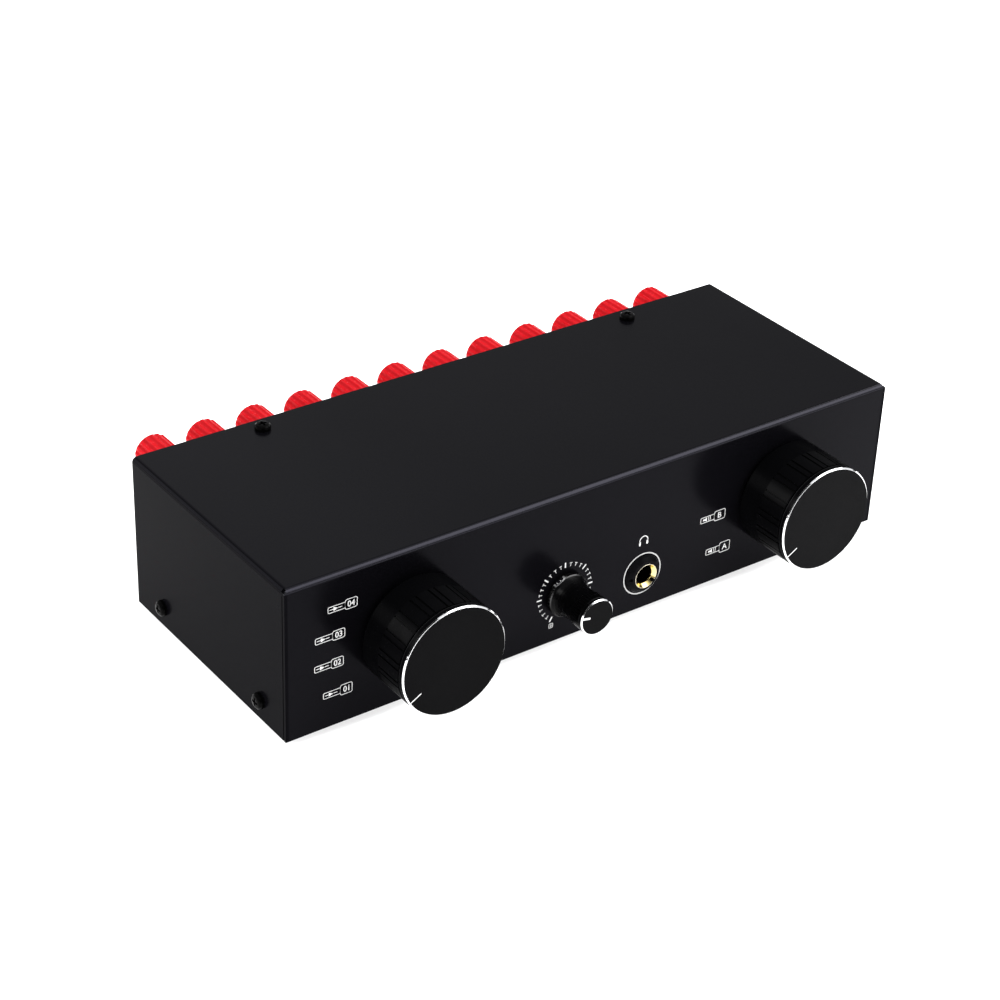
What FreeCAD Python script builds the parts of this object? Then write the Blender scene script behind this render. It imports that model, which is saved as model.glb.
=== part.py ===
import FreeCAD, Part
import math
import os
import Sketcher
from FreeCAD import Placement, Rotation, Vector

# Speaker selector switch.  Millimetres, +Z up, the front panel faces -Y, +X is
# to the right as seen from the front.  The origin is the centre of the
# footprint, on the surface that the rubber feet stand on.

doc = FreeCAD.newDocument("speaker_selector_switch")
sheet = doc.addObject("Spreadsheet::Sheet", "dims")

CELLS = [
    # case
    ("case_width", 242.0, "outside width of the folded cover"),
    ("case_depth", 93.0, "front face to rear panel"),
    ("case_height", 55.0, "lower edge to top face"),
    ("front_face", -44.0, "Y of the front face"),
    ("wall", 1.0, "steel sheet"),
    ("bend_outer", 1.8, "outside radius of the folds of the cover"),
    ("seam", 0.45, "gap where two flaps meet"),
    ("fold_gap", 0.2, "gap between cover and base"),
    ("base_bend", 1.5, "outside radius of the folds of the base"),
    ("side_flange", 14.0, "height of the upturned side flanges"),
    ("top_flange", 13.0, "depth of the forward flange of the rear panel"),
    ("foot_height", 3.0, "rubber foot"),
    ("foot_radius", 6.0, "rubber foot"),
    ("foot_spread", 210.0, "between feet, along X"),
    ("foot_front", -31.0, "Y of the front feet"),
    ("foot_pitch", 67.0, "between feet, along Y"),
    # screws
    ("screw_head", 2.75, "pan head radius"),
    ("head_rise", 2.0, "pan head height"),
    ("screw_shank", 1.45, "shank radius"),
    ("screw_length", 6.0, "under the head"),
    ("screw_clear", 1.65, "hole in the cover"),
    ("screw_tapped", 1.55, "hole in the base flanges"),
    ("top_screw_spread", 152.0, "between the two top screws"),
    ("top_screw_inset", 6.0, "from the rear edge"),
    ("side_screw_front", 15.0, "from the front face"),
    ("side_screw_pitch", 61.0, "between the two side screws"),
    ("side_screw_rise", 7.0, "above the lower edge"),
    # rotary selectors
    ("knob_offset", 75.8, "knob axis from the middle of the panel"),
    ("knob_rise", 27.25, "knob axis above the lower edge"),
    ("bushing_radius", 4.5, "threaded bushing"),
    ("shaft_radius", 3.0, "6 mm shaft"),
    ("shaft_run", 0.05, "running clearance of a shaft in its bushing"),
    ("nut_thick", 2.0, "panel nuts"),
    ("washer_thick", 0.6, "panel washers"),
    ("selector_nut", 6.0, "half across flats"),
    ("selector_washer", 7.0, "outer radius"),
    ("plate_width", 42.0, "selector front plate"),
    ("plate_tall", 32.0, "selector front plate"),
    ("plate_thick", 1.6, "selector front plate"),
    ("detent_radius", 13.5, "detent housing"),
    ("detent_depth", 6.0, "detent housing"),
    ("deck_first", 15.0, "front plate to the first deck"),
    ("deck_pitch", 12.0, "between decks"),
    ("deck_thick", 1.6, "phenolic deck"),
    ("deck_bore", 8.3, "opening for the rotor"),
    ("rotor_radius", 8.0, "rotor disc"),
    ("rod_offset", 16.5, "tie rod from the axis"),
    ("rod_radius", 1.25, "tie rod"),
    ("spacer_radius", 2.2, "spacer sleeve"),
    # big knobs
    ("knob_radius", 18.95, "front ring of the big knob"),
    ("knob_length", 23.0, "panel to knob face"),
    ("knob_gap", 1.0, "panel to knob skirt"),
    ("amp_knob_out", 1.05, "this knob sits farther out on its shaft"),
    ("speaker_knob_out", 0.3, "this knob sits farther out on its shaft"),
    ("knob_body", 19.0, "fluted body"),
    ("knob_chamfer", 0.45, "bright edge of the face"),
    ("knob_ring", 2.3, "depth of the front ring"),
    ("knob_neck", 0.6, "groove behind the front ring"),
    ("knob_flute", 10.5, "length of the flutes"),
    ("knob_cavity", 13.0, "hollow over the nut"),
    ("cavity_depth", 6.0, "hollow over the nut"),
    ("pointer_inner", 14.0, "inner end of the pointer line"),
    ("pointer_width", 0.42, "pointer line"),
    ("pointer_depth", 0.15, "pointer line"),
    ("amp_pointer", 210.6, "angle of the pointer at rest, degrees from +X"),
    ("speaker_pointer", 211.2, "angle of the pointer at rest"),
    # volume control
    ("volume_offset", -15.5, "axis from the middle of the panel"),
    ("volume_rise", 17.55, "axis above the lower edge"),
    ("volume_length", 17.35, "panel to knob face"),
    ("volume_gap", 0.8, "panel to knob skirt"),
    ("volume_radius", 6.45, "knob body"),
    ("volume_skirt", 7.8, "knob skirt radius"),
    ("volume_cavity", 5.95, "hollow over the nut"),
    ("volume_bushing", 3.5, "threaded bushing"),
    ("volume_nut", 5.0, "half across flats"),
    ("volume_washer", 5.6, "outer radius"),
    ("volume_pointer", 168.0, "angle of the pointer at rest"),
    ("pot_radius", 8.5, "control housing"),
    ("pot_depth", 12.0, "control housing"),
    # headphone socket
    ("jack_offset", 16.8, "axis from the middle of the panel"),
    ("jack_rise", 13.7, "axis above the lower edge"),
    ("jack_bore", 3.2, "bore for a 6.35 mm plug"),
    ("jack_sleeve", 4.5, "threaded sleeve"),
    ("jack_front", 2.2, "sleeve in front of the panel"),
    ("jack_mouth", 4.3, "wide end of the countersunk mouth"),
    ("jack_cone", 1.3, "depth of the countersink"),
    ("jack_nut", 7.0, "ring nut radius"),
    ("jack_nut_rise", 2.0, "ring nut height"),
    ("jack_box", 16.0, "socket housing, square"),
    ("jack_length", 27.0, "socket housing depth"),
    # terminals
    ("post_pitch", 19.0, "between terminals"),
    ("post_first", -104.5, "X of the first terminal"),
    ("post_row", 32.4, "between the two rows"),
    ("post_low", 11.3, "lower row above the lower edge of the case"),
    ("post_reach", 18.0, "rear panel to the end of the caps"),
    ("post_cap", 6.6, "cap radius"),
    ("post_collar", 6.4, "collar radius"),
    ("collar_depth", 4.0, "collar behind the panel"),
    ("collar_step", 4.0, "shoulder in the panel hole"),
    ("post_hole", 4.15, "panel hole"),
    ("post_flange", 5.0, "stud flange radius"),
    ("flange_depth", 0.8, "stud flange"),
    ("cap_gap", 0.2, "flange to closed cap"),
    ("post_stud", 3.0, "outer threaded part of the stud"),
    ("post_tail", 2.0, "inner threaded part of the stud"),
    ("tail_length", 12.0, "stud inside the case"),
    ("post_socket", 2.0, "bore for a 4 mm plug"),
    ("socket_depth", 9.7, "bore depth"),
    ("wire_hole", 1.1, "cross hole for bare wire"),
    ("cap_recess", 0.8, "stud end below the cap end"),
    ("cap_thread", 3.15, "bore of the cap over the stud"),
    ("cap_mouth", 3.5, "hole in the end of the cap"),
    ("flute_radius", 1.0, "grip flutes of the caps"),
    ("insulator_thick", 1.4, "inner insulating washer"),
    ("insulator_radius", 6.0, "inner insulating washer"),
    ("lug_thick", 0.5, "ring lug"),
    ("lug_reach", 10.5, "lug tail from the stud axis"),
    ("hex_nut", 3.5, "half across flats"),
    ("hex_thick", 3.1, "stud nut"),
    # inside
    ("trunk_depth", 28.0, "Y of the wire bundles"),
    ("trunk_radius", 2.6, "wire bundle"),
    ("wire_radius", 0.9, "single wire"),
    ("tail_radius", 1.7, "bundle to a selector"),
    ("board_width", 46.0, "board"),
    ("board_deep", 26.0, "board"),
    ("board_thick", 1.6, "board"),
    ("board_rise", 6.0, "board above the base plate"),
]

VALUE = {}
for row, (name, number, note) in enumerate(CELLS, start=1):
    sheet.set("A%d" % row, name)
    sheet.set("B%d" % row, repr(number))
    sheet.setAlias("B%d" % row, name)
    sheet.set("C%d" % row, note)
    VALUE[name] = number
doc.recompute()


class Size:
    """A number together with the sheet expression that gives it."""

    def __init__(self, number, text):
        self.number = float(number)
        self.text = text

    @staticmethod
    def of(other):
        if isinstance(other, Size):
            return other
        return Size(other, "(%r)" % float(other) if other < 0 else "%r" % float(other))

    def __add__(self, other):
        other = Size.of(other)
        return Size(self.number + other.number, "(%s + %s)" % (self.text, other.text))

    def __radd__(self, other):
        return Size.of(other) + self

    def __sub__(self, other):
        other = Size.of(other)
        return Size(self.number - other.number, "(%s - %s)" % (self.text, other.text))

    def __rsub__(self, other):
        return Size.of(other) - self

    def __mul__(self, factor):
        factor = Size.of(factor)
        return Size(self.number * factor.number, "(%s * %s)" % (self.text, factor.text))

    __rmul__ = __mul__

    def __truediv__(self, factor):
        factor = Size.of(factor)
        return Size(self.number / factor.number, "(%s / %s)" % (self.text, factor.text))

    def __neg__(self):
        return Size(-self.number, "(0 - %s)" % self.text)


def cell(name):
    return Size(VALUE[name], "dims.%s" % name)


def bind(thing, prop, size):
    size = Size.of(size)
    if "." not in prop:
        setattr(thing, prop, size.number)
    thing.setExpression(prop, size.text)


# ---------------------------------------------------------------- helpers

PARTS = []


def new_body(label):
    body = doc.addObject("PartDesign::Body", label)
    body.Label = label
    body.AllowCompound = True
    PARTS.append(body)
    return body


def place(body, x=None, y=None, z=None):
    """Sets the body's Placement from the sheet."""
    base = [Size.of(v if v is not None else 0.0) for v in (x, y, z)]
    body.Placement = Placement(Vector(*[v.number for v in base]), Rotation())
    for axis, size in zip("xyz", base):
        body.setExpression("Placement.Base.%s" % axis, size.text)


def datum(body, role):
    for item in body.Origin.OriginFeatures:
        if item.Role == role:
            return item
    raise ValueError(role)


def new_sketch(body, role, name, offset=None):
    """A sketch on one of the body's own base planes.

    XY_Plane: u = X, v = Y, normal +Z.  XZ_Plane: u = X, v = Z, normal -Y.
    YZ_Plane: u = Y, v = Z, normal +X.  offset runs along the normal.
    """
    sk = body.newObject("Sketcher::SketchObject", name)
    sk.AttachmentSupport = [(datum(body, role), "")]
    sk.MapMode = "FlatFace"
    if offset is not None:
        offset = Size.of(offset)
        sk.AttachmentOffset = Placement(Vector(0, 0, offset.number), Rotation())
        sk.setExpression("AttachmentOffset.Base.z", offset.text)
    return sk


def pin(sk, geo, pos, u, v):
    """Holds one point of the sketch at (u, v) from its origin."""
    for kind, size in (("DistanceX", Size.of(u)), ("DistanceY", Size.of(v))):
        index = sk.addConstraint(Sketcher.Constraint(kind, -1, 1, geo, pos, size.number))
        name = "%s_%d_%d" % (kind[-1].lower(), geo, pos)
        sk.renameConstraint(index, name)
        if "dims." in size.text:
            sk.setExpression("Constraints.%s" % name, size.text)


def polygon(sk, points):
    points = [(Size.of(u), Size.of(v)) for u, v in points]
    first = sk.GeometryCount
    count = len(points)
    for i in range(count):
        a, b = points[i], points[(i + 1) % count]
        sk.addGeometry(Part.LineSegment(Vector(a[0].number, a[1].number, 0),
                                        Vector(b[0].number, b[1].number, 0)), False)
    for i in range(count):
        sk.addConstraint(Sketcher.Constraint("Coincident", first + i, 2,
                                             first + (i + 1) % count, 1))
    for i, (u, v) in enumerate(points):
        pin(sk, first + i, 1, u, v)
    return first


def rectangle(sk, u0, u1, v0, v1):
    return polygon(sk, [(u0, v0), (u1, v0), (u1, v1), (u0, v1)])


def circle(sk, u, v, radius):
    u, v, radius = Size.of(u), Size.of(v), Size.of(radius)
    geo = sk.addGeometry(Part.Circle(Vector(u.number, v.number, 0), Vector(0, 0, 1),
                                     radius.number), False)
    index = sk.addConstraint(Sketcher.Constraint("Radius", geo, radius.number))
    sk.renameConstraint(index, "r_%d" % geo)
    if "dims." in radius.text:
        sk.setExpression("Constraints.r_%d" % geo, radius.text)
    pin(sk, geo, 3, u, v)
    return geo


def hexagon(sk, u, v, half_flats):
    """A hexagon with a flat at the top and a flat at the bottom."""
    u, v, half_flats = Size.of(u), Size.of(v), Size.of(half_flats)
    corner = half_flats * (2.0 / math.sqrt(3.0))
    polygon(sk, [(u + corner * math.cos(math.radians(a)), v + corner * math.sin(math.radians(a)))
                 for a in (0, 60, 120, 180, 240, 300)])


def pad(body, sk, name, length, reverse=False):
    item = body.newObject("PartDesign::Pad", name)
    item.Profile = sk
    item.Reversed = reverse
    bind(item, "Length", length)
    return item


def pocket(body, sk, name, length=None, reverse=False, both=False):
    item = body.newObject("PartDesign::Pocket", name)
    item.Profile = sk
    if length is None:
        item.Type = "ThroughAll"
    else:
        bind(item, "Length", length)
    if both:
        item.SideType = "Symmetric"
    item.Reversed = reverse
    return item


def revolve(body, sk, name, axis="H_Axis", cut=False):
    item = body.newObject("PartDesign::Groove" if cut else "PartDesign::Revolution", name)
    item.Profile = sk
    item.ReferenceAxis = (sk, [axis])
    item.Angle = 360.0
    return item


def row_of(body, name, role, pitch, count):
    """Repeats the whole body along a base axis."""
    doc.recompute()
    item = body.newObject("PartDesign::LinearPattern", name)
    item.TransformMode = "Whole shape"
    item.Direction = (datum(body, role), [""])
    item.Mode = "Spacing"
    item.Occurrences = count
    bind(item, "Offset", pitch)
    body.Tip = item
    return item


def ring_of(body, name, features, count, role="Y_Axis"):
    """Repeats features around a base axis of the body."""
    item = body.newObject("PartDesign::PolarPattern", name)
    item.Originals = features
    item.Axis = (datum(body, role), [""])
    item.Angle = 360.0
    item.Occurrences = count
    body.Tip = item
    return item


def mirror_of(body, name, role):
    doc.recompute()
    item = body.newObject("PartDesign::Mirrored", name)
    item.TransformMode = "Whole shape"
    item.MirrorPlane = (datum(body, role), [""])
    body.Tip = item
    return item


def edges_where(shape, test):
    names = []
    for i, edge in enumerate(shape.Edges, start=1):
        mid = edge.valueAt((edge.FirstParameter + edge.LastParameter) / 2.0)
        if test(edge, mid):
            names.append("Edge%d" % i)
    return names


def faces_where(shape, test):
    return ["Face%d" % i for i, face in enumerate(shape.Faces, start=1)
            if test(face, face.CenterOfMass)]


def round_edges(body, base, names, name, radius, chamfer=False):
    kind = "PartDesign::Chamfer" if chamfer else "PartDesign::Fillet"
    item = body.newObject(kind, name)
    item.Base = (base, names)
    bind(item, "Size" if chamfer else "Radius", radius)
    return item


def near(a, b, tol=1e-3):
    return abs(a - b) < tol


def along(edge, axis):
    """True for a straight edge parallel to a base axis."""
    if edge.Curve.TypeId != "Part::GeomLine":
        return False
    d = edge.Curve.Direction
    return abs(abs({"x": d.x, "y": d.y, "z": d.z}[axis]) - 1.0) < 1e-6


# ------------------------------------------------------- main reference sizes

half = cell("case_width") / 2
front = cell("front_face")
inner_front = front + cell("wall")
rear = front + cell("case_depth")
low = cell("foot_height")
high = low + cell("case_height")
wall = cell("wall")
knob_z = low + cell("knob_rise")
knob_x = cell("knob_offset")
volume_x = cell("volume_offset")
volume_z = low + cell("volume_rise")
jack_x = cell("jack_offset")
jack_z = low + cell("jack_rise")
post_low_z = low + cell("post_low")
post_high_z = post_low_z + cell("post_row")
screw_y = rear - cell("top_screw_inset")
side_y = front + cell("side_screw_front")
side_z = low + cell("side_screw_rise")

# --------------------------------------------------------------- folded cover
# One sheet: top, front flap and two side flaps, open at the rear and below.

body = new_body("top_cover")
sk = new_sketch(body, "XY_Plane", "cover_plan", low)
rectangle(sk, -half, half, front, rear)
block = pad(body, sk, "cover_block", cell("case_height"))
doc.recompute()
top_edges = edges_where(block.Shape, lambda e, m: near(m.z, high.number) and not near(m.y, rear.number))
folds = round_edges(body, block, top_edges, "cover_folds", cell("bend_outer"))
doc.recompute()
sk = new_sketch(body, "XY_Plane", "hollow_plan", low - 1)
rectangle(sk, -half + wall, half - wall, inner_front, rear + 1)
hollow = pocket(body, sk, "cover_hollow", cell("case_height") - wall + 1, reverse=True)
doc.recompute()
under = edges_where(hollow.Shape, lambda e, m: near(m.z, high.number - VALUE["wall"]) and m.y < rear.number - 1)
round_edges(body, hollow, under, "cover_inner_folds", cell("bend_outer") - wall)
# seams: the side flaps stop short of the front flap
sk = new_sketch(body, "XY_Plane", "seam_plan", low - 1)
rectangle(sk, -half - 1, -half + wall + 0.3, inner_front, inner_front + cell("seam"))
rectangle(sk, half - wall - 0.3, half + 1, inner_front, inner_front + cell("seam"))
pocket(body, sk, "seams", cell("case_height") - cell("bend_outer") + 0.8, reverse=True)
# relief where three flaps meet: a small round hole at each front top corner
sk = new_sketch(body, "XZ_Plane", "relief_plan", -front + 1)
circle(sk, -half + 0.35, high - 0.35, 0.75)
circle(sk, half - 0.35, high - 0.35, 0.75)
pocket(body, sk, "corner_relief", 2.9)
# front holes
sk = new_sketch(body, "XZ_Plane", "front_holes_plan", -front + 1)
circle(sk, -knob_x, knob_z, cell("bushing_radius") + 0.15)
circle(sk, knob_x, knob_z, cell("bushing_radius") + 0.15)
circle(sk, volume_x, volume_z, cell("volume_bushing") + 0.15)
circle(sk, jack_x, jack_z, cell("jack_sleeve") + 0.15)
pocket(body, sk, "front_holes", wall + 2)
# screw holes
sk = new_sketch(body, "XY_Plane", "top_holes_plan", high + 1)
circle(sk, cell("top_screw_spread") / -2, screw_y, cell("screw_clear"))
circle(sk, cell("top_screw_spread") / 2, screw_y, cell("screw_clear"))
pocket(body, sk, "top_holes", wall + 2)
sk = new_sketch(body, "YZ_Plane", "side_holes_plan")
circle(sk, side_y, side_z, cell("screw_clear"))
circle(sk, side_y + cell("side_screw_pitch"), side_z, cell("screw_clear"))
pocket(body, sk, "side_holes", both=True)

# ------------------------------------------------------ base with rear panel
# Second sheet: bottom plate, rear panel and a forward flange under the top,
# with two upturned side flanges.

base_half = half - wall - cell("fold_gap")
base_top = high - wall - cell("fold_gap")
body = new_body("chassis_base")
sk = new_sketch(body, "YZ_Plane", "base_profile", -base_half)
polygon(sk, [
    (inner_front + cell("fold_gap"), low), (rear, low), (rear, base_top),
    (rear - cell("top_flange"), base_top), (rear - cell("top_flange"), base_top - wall),
    (rear - wall, base_top - wall), (rear - wall, low + wall),
    (inner_front + cell("fold_gap"), low + wall)])
block = pad(body, sk, "base_sheet", base_half * 2)
doc.recompute()
outer = edges_where(block.Shape, lambda e, m: along(e, "x") and near(m.y, rear.number)
                    and (near(m.z, low.number) or near(m.z, base_top.number)))
fold = round_edges(body, block, outer, "base_folds", cell("base_bend"))
doc.recompute()
inner = edges_where(fold.Shape, lambda e, m: along(e, "x") and near(m.y, rear.number - VALUE["wall"])
                    and (near(m.z, low.number + VALUE["wall"]) or near(m.z, base_top.number - VALUE["wall"])))
round_edges(body, fold, inner, "base_inner_folds", cell("base_bend") - wall)
sk = new_sketch(body, "XY_Plane", "flange_plan", low + wall * 0.5)
rectangle(sk, -base_half, -base_half + wall, front + 3, rear - 2)
rectangle(sk, base_half - wall, base_half, front + 3, rear - 2)
flanges = pad(body, sk, "side_flanges", cell("side_flange") + wall * 0.5)
doc.recompute()
lower = edges_where(flanges.Shape, lambda e, m: along(e, "y") and near(m.z, low.number)
                    and near(abs(m.x), base_half.number))
round_edges(body, flanges, lower, "flange_folds", cell("base_bend") - 0.6)
sk = new_sketch(body, "XZ_Plane", "post_hole_plan", -rear - 1)
for i in range(12):
    for z in (post_low_z, post_high_z):
        circle(sk, cell("post_first") + cell("post_pitch") * i, z, cell("post_hole"))
pocket(body, sk, "post_holes", wall + 2, reverse=True)
sk = new_sketch(body, "XY_Plane", "flange_hole_plan", high + 1)
circle(sk, cell("top_screw_spread") / -2, screw_y, cell("screw_tapped"))
circle(sk, cell("top_screw_spread") / 2, screw_y, cell("screw_tapped"))
pocket(body, sk, "flange_holes", wall * 2 + 3)
sk = new_sketch(body, "YZ_Plane", "side_flange_hole_plan")
circle(sk, side_y, side_z, cell("screw_tapped"))
circle(sk, side_y + cell("side_screw_pitch"), side_z, cell("screw_tapped"))
pocket(body, sk, "side_flange_holes", both=True)

# ------------------------------------------------------------------- screws


def screw_profile(sk, flip):
    """Half profile of a pan-head screw; u runs out along the shank axis."""
    rise = cell("head_rise")
    head = cell("screw_head")
    shank = cell("screw_shank")
    length = cell("screw_length")
    s = -1 if flip else 1
    polygon(sk, [(s * (-length), 0), (s * (-length), shank - 0.5), (s * (-length + 0.5), shank),
                 (0, shank), (0, head), (s * (rise * 0.42), head), (s * (rise * 0.72), head * 0.93),
                 (s * (rise * 0.92), head * 0.76), (s * rise, head * 0.5), (s * rise, 0)])


def cross(sk, arm, width):
    """A plus-shaped outline around the sketch origin."""
    a, w = Size.of(arm), Size.of(width) / 2
    polygon(sk, [(w, w), (w, a), (-w, a), (-w, w), (-a, w), (-a, -w),
                 (-w, -w), (-w, -a), (w, -a), (w, -w), (a, -w), (a, w)])


body = new_body("top_cover_screws")
sk = new_sketch(body, "XZ_Plane", "screw_half")
polygon(sk, [(0, -cell("screw_length")), (cell("screw_shank") - 0.5, -cell("screw_length")),
             (cell("screw_shank"), -cell("screw_length") + 0.5), (cell("screw_shank"), 0),
             (cell("screw_head"), 0), (cell("screw_head"), cell("head_rise") * 0.42),
             (cell("screw_head") * 0.93, cell("head_rise") * 0.72),
             (cell("screw_head") * 0.76, cell("head_rise") * 0.92),
             (cell("screw_head") * 0.5, cell("head_rise")), (0, cell("head_rise"))])
revolve(body, sk, "screw_turned", axis="V_Axis")
sk = new_sketch(body, "XY_Plane", "cross_plan", cell("head_rise") + 0.1)
cross(sk, cell("screw_head") * 0.55, 0.8)
pocket(body, sk, "cross_recess", 1.3)
row_of(body, "screw_pair", "X_Axis", cell("top_screw_spread"), 2)
place(body, cell("top_screw_spread") / -2, screw_y, high)

body = new_body("side_cover_screws")
sk = new_sketch(body, "XZ_Plane", "screw_half")
x0 = -half
polygon(sk, [(x0 + cell("screw_length"), 0), (x0 + cell("screw_length"), cell("screw_shank") - 0.5),
             (x0 + cell("screw_length") - 0.5, cell("screw_shank")), (x0, cell("screw_shank")),
             (x0, cell("screw_head")), (x0 - cell("head_rise") * 0.42, cell("screw_head")),
             (x0 - cell("head_rise") * 0.72, cell("screw_head") * 0.93),
             (x0 - cell("head_rise") * 0.92, cell("screw_head") * 0.76),
             (x0 - cell("head_rise"), cell("screw_head") * 0.5), (x0 - cell("head_rise"), 0)])
revolve(body, sk, "screw_turned", axis="H_Axis")
sk = new_sketch(body, "YZ_Plane", "cross_plan", x0 - cell("head_rise") - 0.1)
cross(sk, cell("screw_head") * 0.55, 0.8)
pocket(body, sk, "cross_recess", 1.3, reverse=True)
row_of(body, "screw_pair", "Y_Axis", cell("side_screw_pitch"), 2)
mirror_of(body, "both_sides", "YZ_Plane")
place(body, 0, side_y, side_z)

# --------------------------------------------------------------------- feet

body = new_body("rubber_feet")
sk = new_sketch(body, "XZ_Plane", "foot_half")
polygon(sk, [(0, 0.5), (cell("foot_radius") * 0.45, 0.5), (cell("foot_radius") * 0.55, 0),
             (cell("foot_radius") - 1.1, 0), (cell("foot_radius") - 0.6, 0.3),
             (cell("foot_radius"), cell("foot_height")), (0, cell("foot_height"))])
revolve(body, sk, "foot_turned", axis="V_Axis")
row_of(body, "foot_pair", "X_Axis", cell("foot_spread"), 2)
row_of(body, "four_feet", "Y_Axis", cell("foot_pitch"), 2)
place(body, cell("foot_spread") / -2, cell("foot_front"), 0)

# ------------------------------------------------------ panel nuts and washers

body = new_body("panel_washers")
sk = new_sketch(body, "XZ_Plane", "washer_plan", -front)
for x, z, out, inside in ((-knob_x, knob_z, cell("selector_washer"), cell("bushing_radius") + 0.15),
                          (knob_x, knob_z, cell("selector_washer"), cell("bushing_radius") + 0.15),
                          (volume_x, volume_z, cell("volume_washer"), cell("volume_bushing") + 0.15)):
    circle(sk, x, z, out)
    circle(sk, x, z, inside)
pad(body, sk, "washers", cell("washer_thick"))

body = new_body("panel_nuts")
sk = new_sketch(body, "XZ_Plane", "nut_plan", -front + cell("washer_thick"))
for x, z, flats, inside in ((-knob_x, knob_z, cell("selector_nut"), cell("bushing_radius") + 0.05),
                            (knob_x, knob_z, cell("selector_nut"), cell("bushing_radius") + 0.05),
                            (volume_x, volume_z, cell("volume_nut"), cell("volume_bushing") + 0.05)):
    hexagon(sk, x, z, flats)
    circle(sk, x, z, inside)
pad(body, sk, "nuts", cell("nut_thick"))

# ----------------------------------------------------------- rotary selectors

plate_back = inner_front + cell("plate_thick")
deck_y = plate_back + cell("deck_first")


def selector(prefix, x, decks):
    """Frame, decks, contacts and rotor of one rotary switch on the axis (x, knob_z)."""
    last_deck = deck_y + cell("deck_pitch") * (decks - 1)

    # frame: front plate, threaded bushing and detent housing in one casting
    body = new_body(prefix + "_switch_frame")
    sk = new_sketch(body, "XZ_Plane", "plate_plan", -inner_front)
    pw, pt, cut = cell("plate_width") / 2, cell("plate_tall") / 2, 7.0
    polygon(sk, [(-pw + cut, -pt), (pw - cut, -pt), (pw, -pt + cut), (pw, pt - cut),
                 (pw - cut, pt), (-pw + cut, pt), (-pw, pt - cut), (-pw, -pt + cut)])
    pad(body, sk, "plate", cell("plate_thick"), reverse=True)
    sk = new_sketch(body, "YZ_Plane", "bushing_half")
    b0 = front - cell("washer_thick") - cell("nut_thick") - 0.8
    polygon(sk, [(b0, 0), (b0, cell("bushing_radius") - 0.4), (b0 + 0.4, cell("bushing_radius")),
                 (inner_front + 0.5, cell("bushing_radius")), (inner_front + 0.5, cell("detent_radius") - 2),
                 (plate_back, cell("detent_radius")), (plate_back + cell("detent_depth"), cell("detent_radius")),
                 (plate_back + cell("detent_depth"), 0)])
    revolve(body, sk, "bushing")
    sk = new_sketch(body, "YZ_Plane", "shaft_way_half")
    polygon(sk, [(b0 - 1, 0), (b0 - 1, cell("shaft_radius") + cell("shaft_run")),
                 (plate_back, cell("shaft_radius") + cell("shaft_run")), (plate_back, 7.0),
                 (plate_back + cell("detent_depth") - 1.0, 7.0),
                 (plate_back + cell("detent_depth") - 1.0, 4.0),
                 (plate_back + cell("detent_depth") + 1, 4.0), (plate_back + cell("detent_depth") + 1, 0)])
    revolve(body, sk, "shaft_way", cut=True)
    sk = new_sketch(body, "XZ_Plane", "rod_hole_plan")
    circle(sk, -cell("rod_offset"), 0, cell("rod_radius") + 0.1)
    circle(sk, cell("rod_offset"), 0, cell("rod_radius") + 0.1)
    pocket(body, sk, "rod_holes", both=True)
    place(body, x, 0, knob_z)

    # decks
    body = new_body(prefix + "_switch_wafers")
    sk = new_sketch(body, "XZ_Plane", "deck_plan", -deck_y)
    dw, dt, cut = cell("plate_width") / 2, cell("plate_tall") / 2, 9.0
    polygon(sk, [(-dw + cut, -dt), (dw - cut, -dt), (dw, -dt + cut), (dw, dt - cut),
                 (dw - cut, dt), (-dw + cut, dt), (-dw, dt - cut), (-dw, -dt + cut)])
    circle(sk, 0, 0, cell("deck_bore"))
    circle(sk, -cell("rod_offset"), 0, cell("rod_radius") + 0.1)
    circle(sk, cell("rod_offset"), 0, cell("rod_radius") + 0.1)
    pad(body, sk, "deck", cell("deck_thick"), reverse=True)
    row_of(body, "decks", "Y_Axis", cell("deck_pitch"), decks)
    place(body, x, 0, knob_z)

    # contact lugs, riveted on the rear face of every deck
    body = new_body(prefix + "_switch_contacts")
    sk = new_sketch(body, "XZ_Plane", "lug_plan", -deck_y - cell("deck_thick"))
    a = math.radians(15.0)
    c, s = math.cos(a), math.sin(a)
    r0, r1, w = cell("deck_bore") + 0.4, cell("plate_tall") / 2 + 2.5, 0.8
    polygon(sk, [(r0 * c - (-w) * s, r0 * s + (-w) * c), (r1 * c - (-w) * s, r1 * s + (-w) * c),
                 (r1 * c - w * s, r1 * s + w * c), (r0 * c - w * s, r0 * s + w * c)])
    lug = pad(body, sk, "lug", 0.5, reverse=True)
    ring_of(body, "lugs", [lug], 12)
    row_of(body, "lug_sets", "Y_Axis", cell("deck_pitch"), decks)
    place(body, x, 0, knob_z)

    # rotor: D-shaft with its detent wheel and one disc per deck
    body = new_body(prefix + "_switch_rotor")
    end = last_deck + cell("deck_thick") + 3
    tip = front - cell("knob_length") + 6
    sr = cell("shaft_radius")
    sk = new_sketch(body, "YZ_Plane", "rotor_half")
    points = [(end, 0), (tip, 0), (tip, sr - 0.4), (tip + 0.4, sr), (plate_back + 1, sr),
              (plate_back + 1, 6.5), (plate_back + 3.5, 6.5), (plate_back + 3.5, sr)]
    for i in range(decks):
        y = deck_y + cell("deck_pitch") * i
        points += [(y, sr), (y, cell("rotor_radius")), (y + cell("deck_thick"), cell("rotor_radius")),
                   (y + cell("deck_thick"), sr)]
    points += [(end, sr)]
    polygon(sk, points)
    revolve(body, sk, "rotor_turned")
    sk = new_sketch(body, "XZ_Plane", "flat_plan", -tip + 1)
    # the flat faces the set screw, opposite the pointer
    rectangle(sk, -sr - 1, sr + 1, sr - 0.75, sr + 1)
    pocket(body, sk, "flat", 11.0)
    return body


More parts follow.
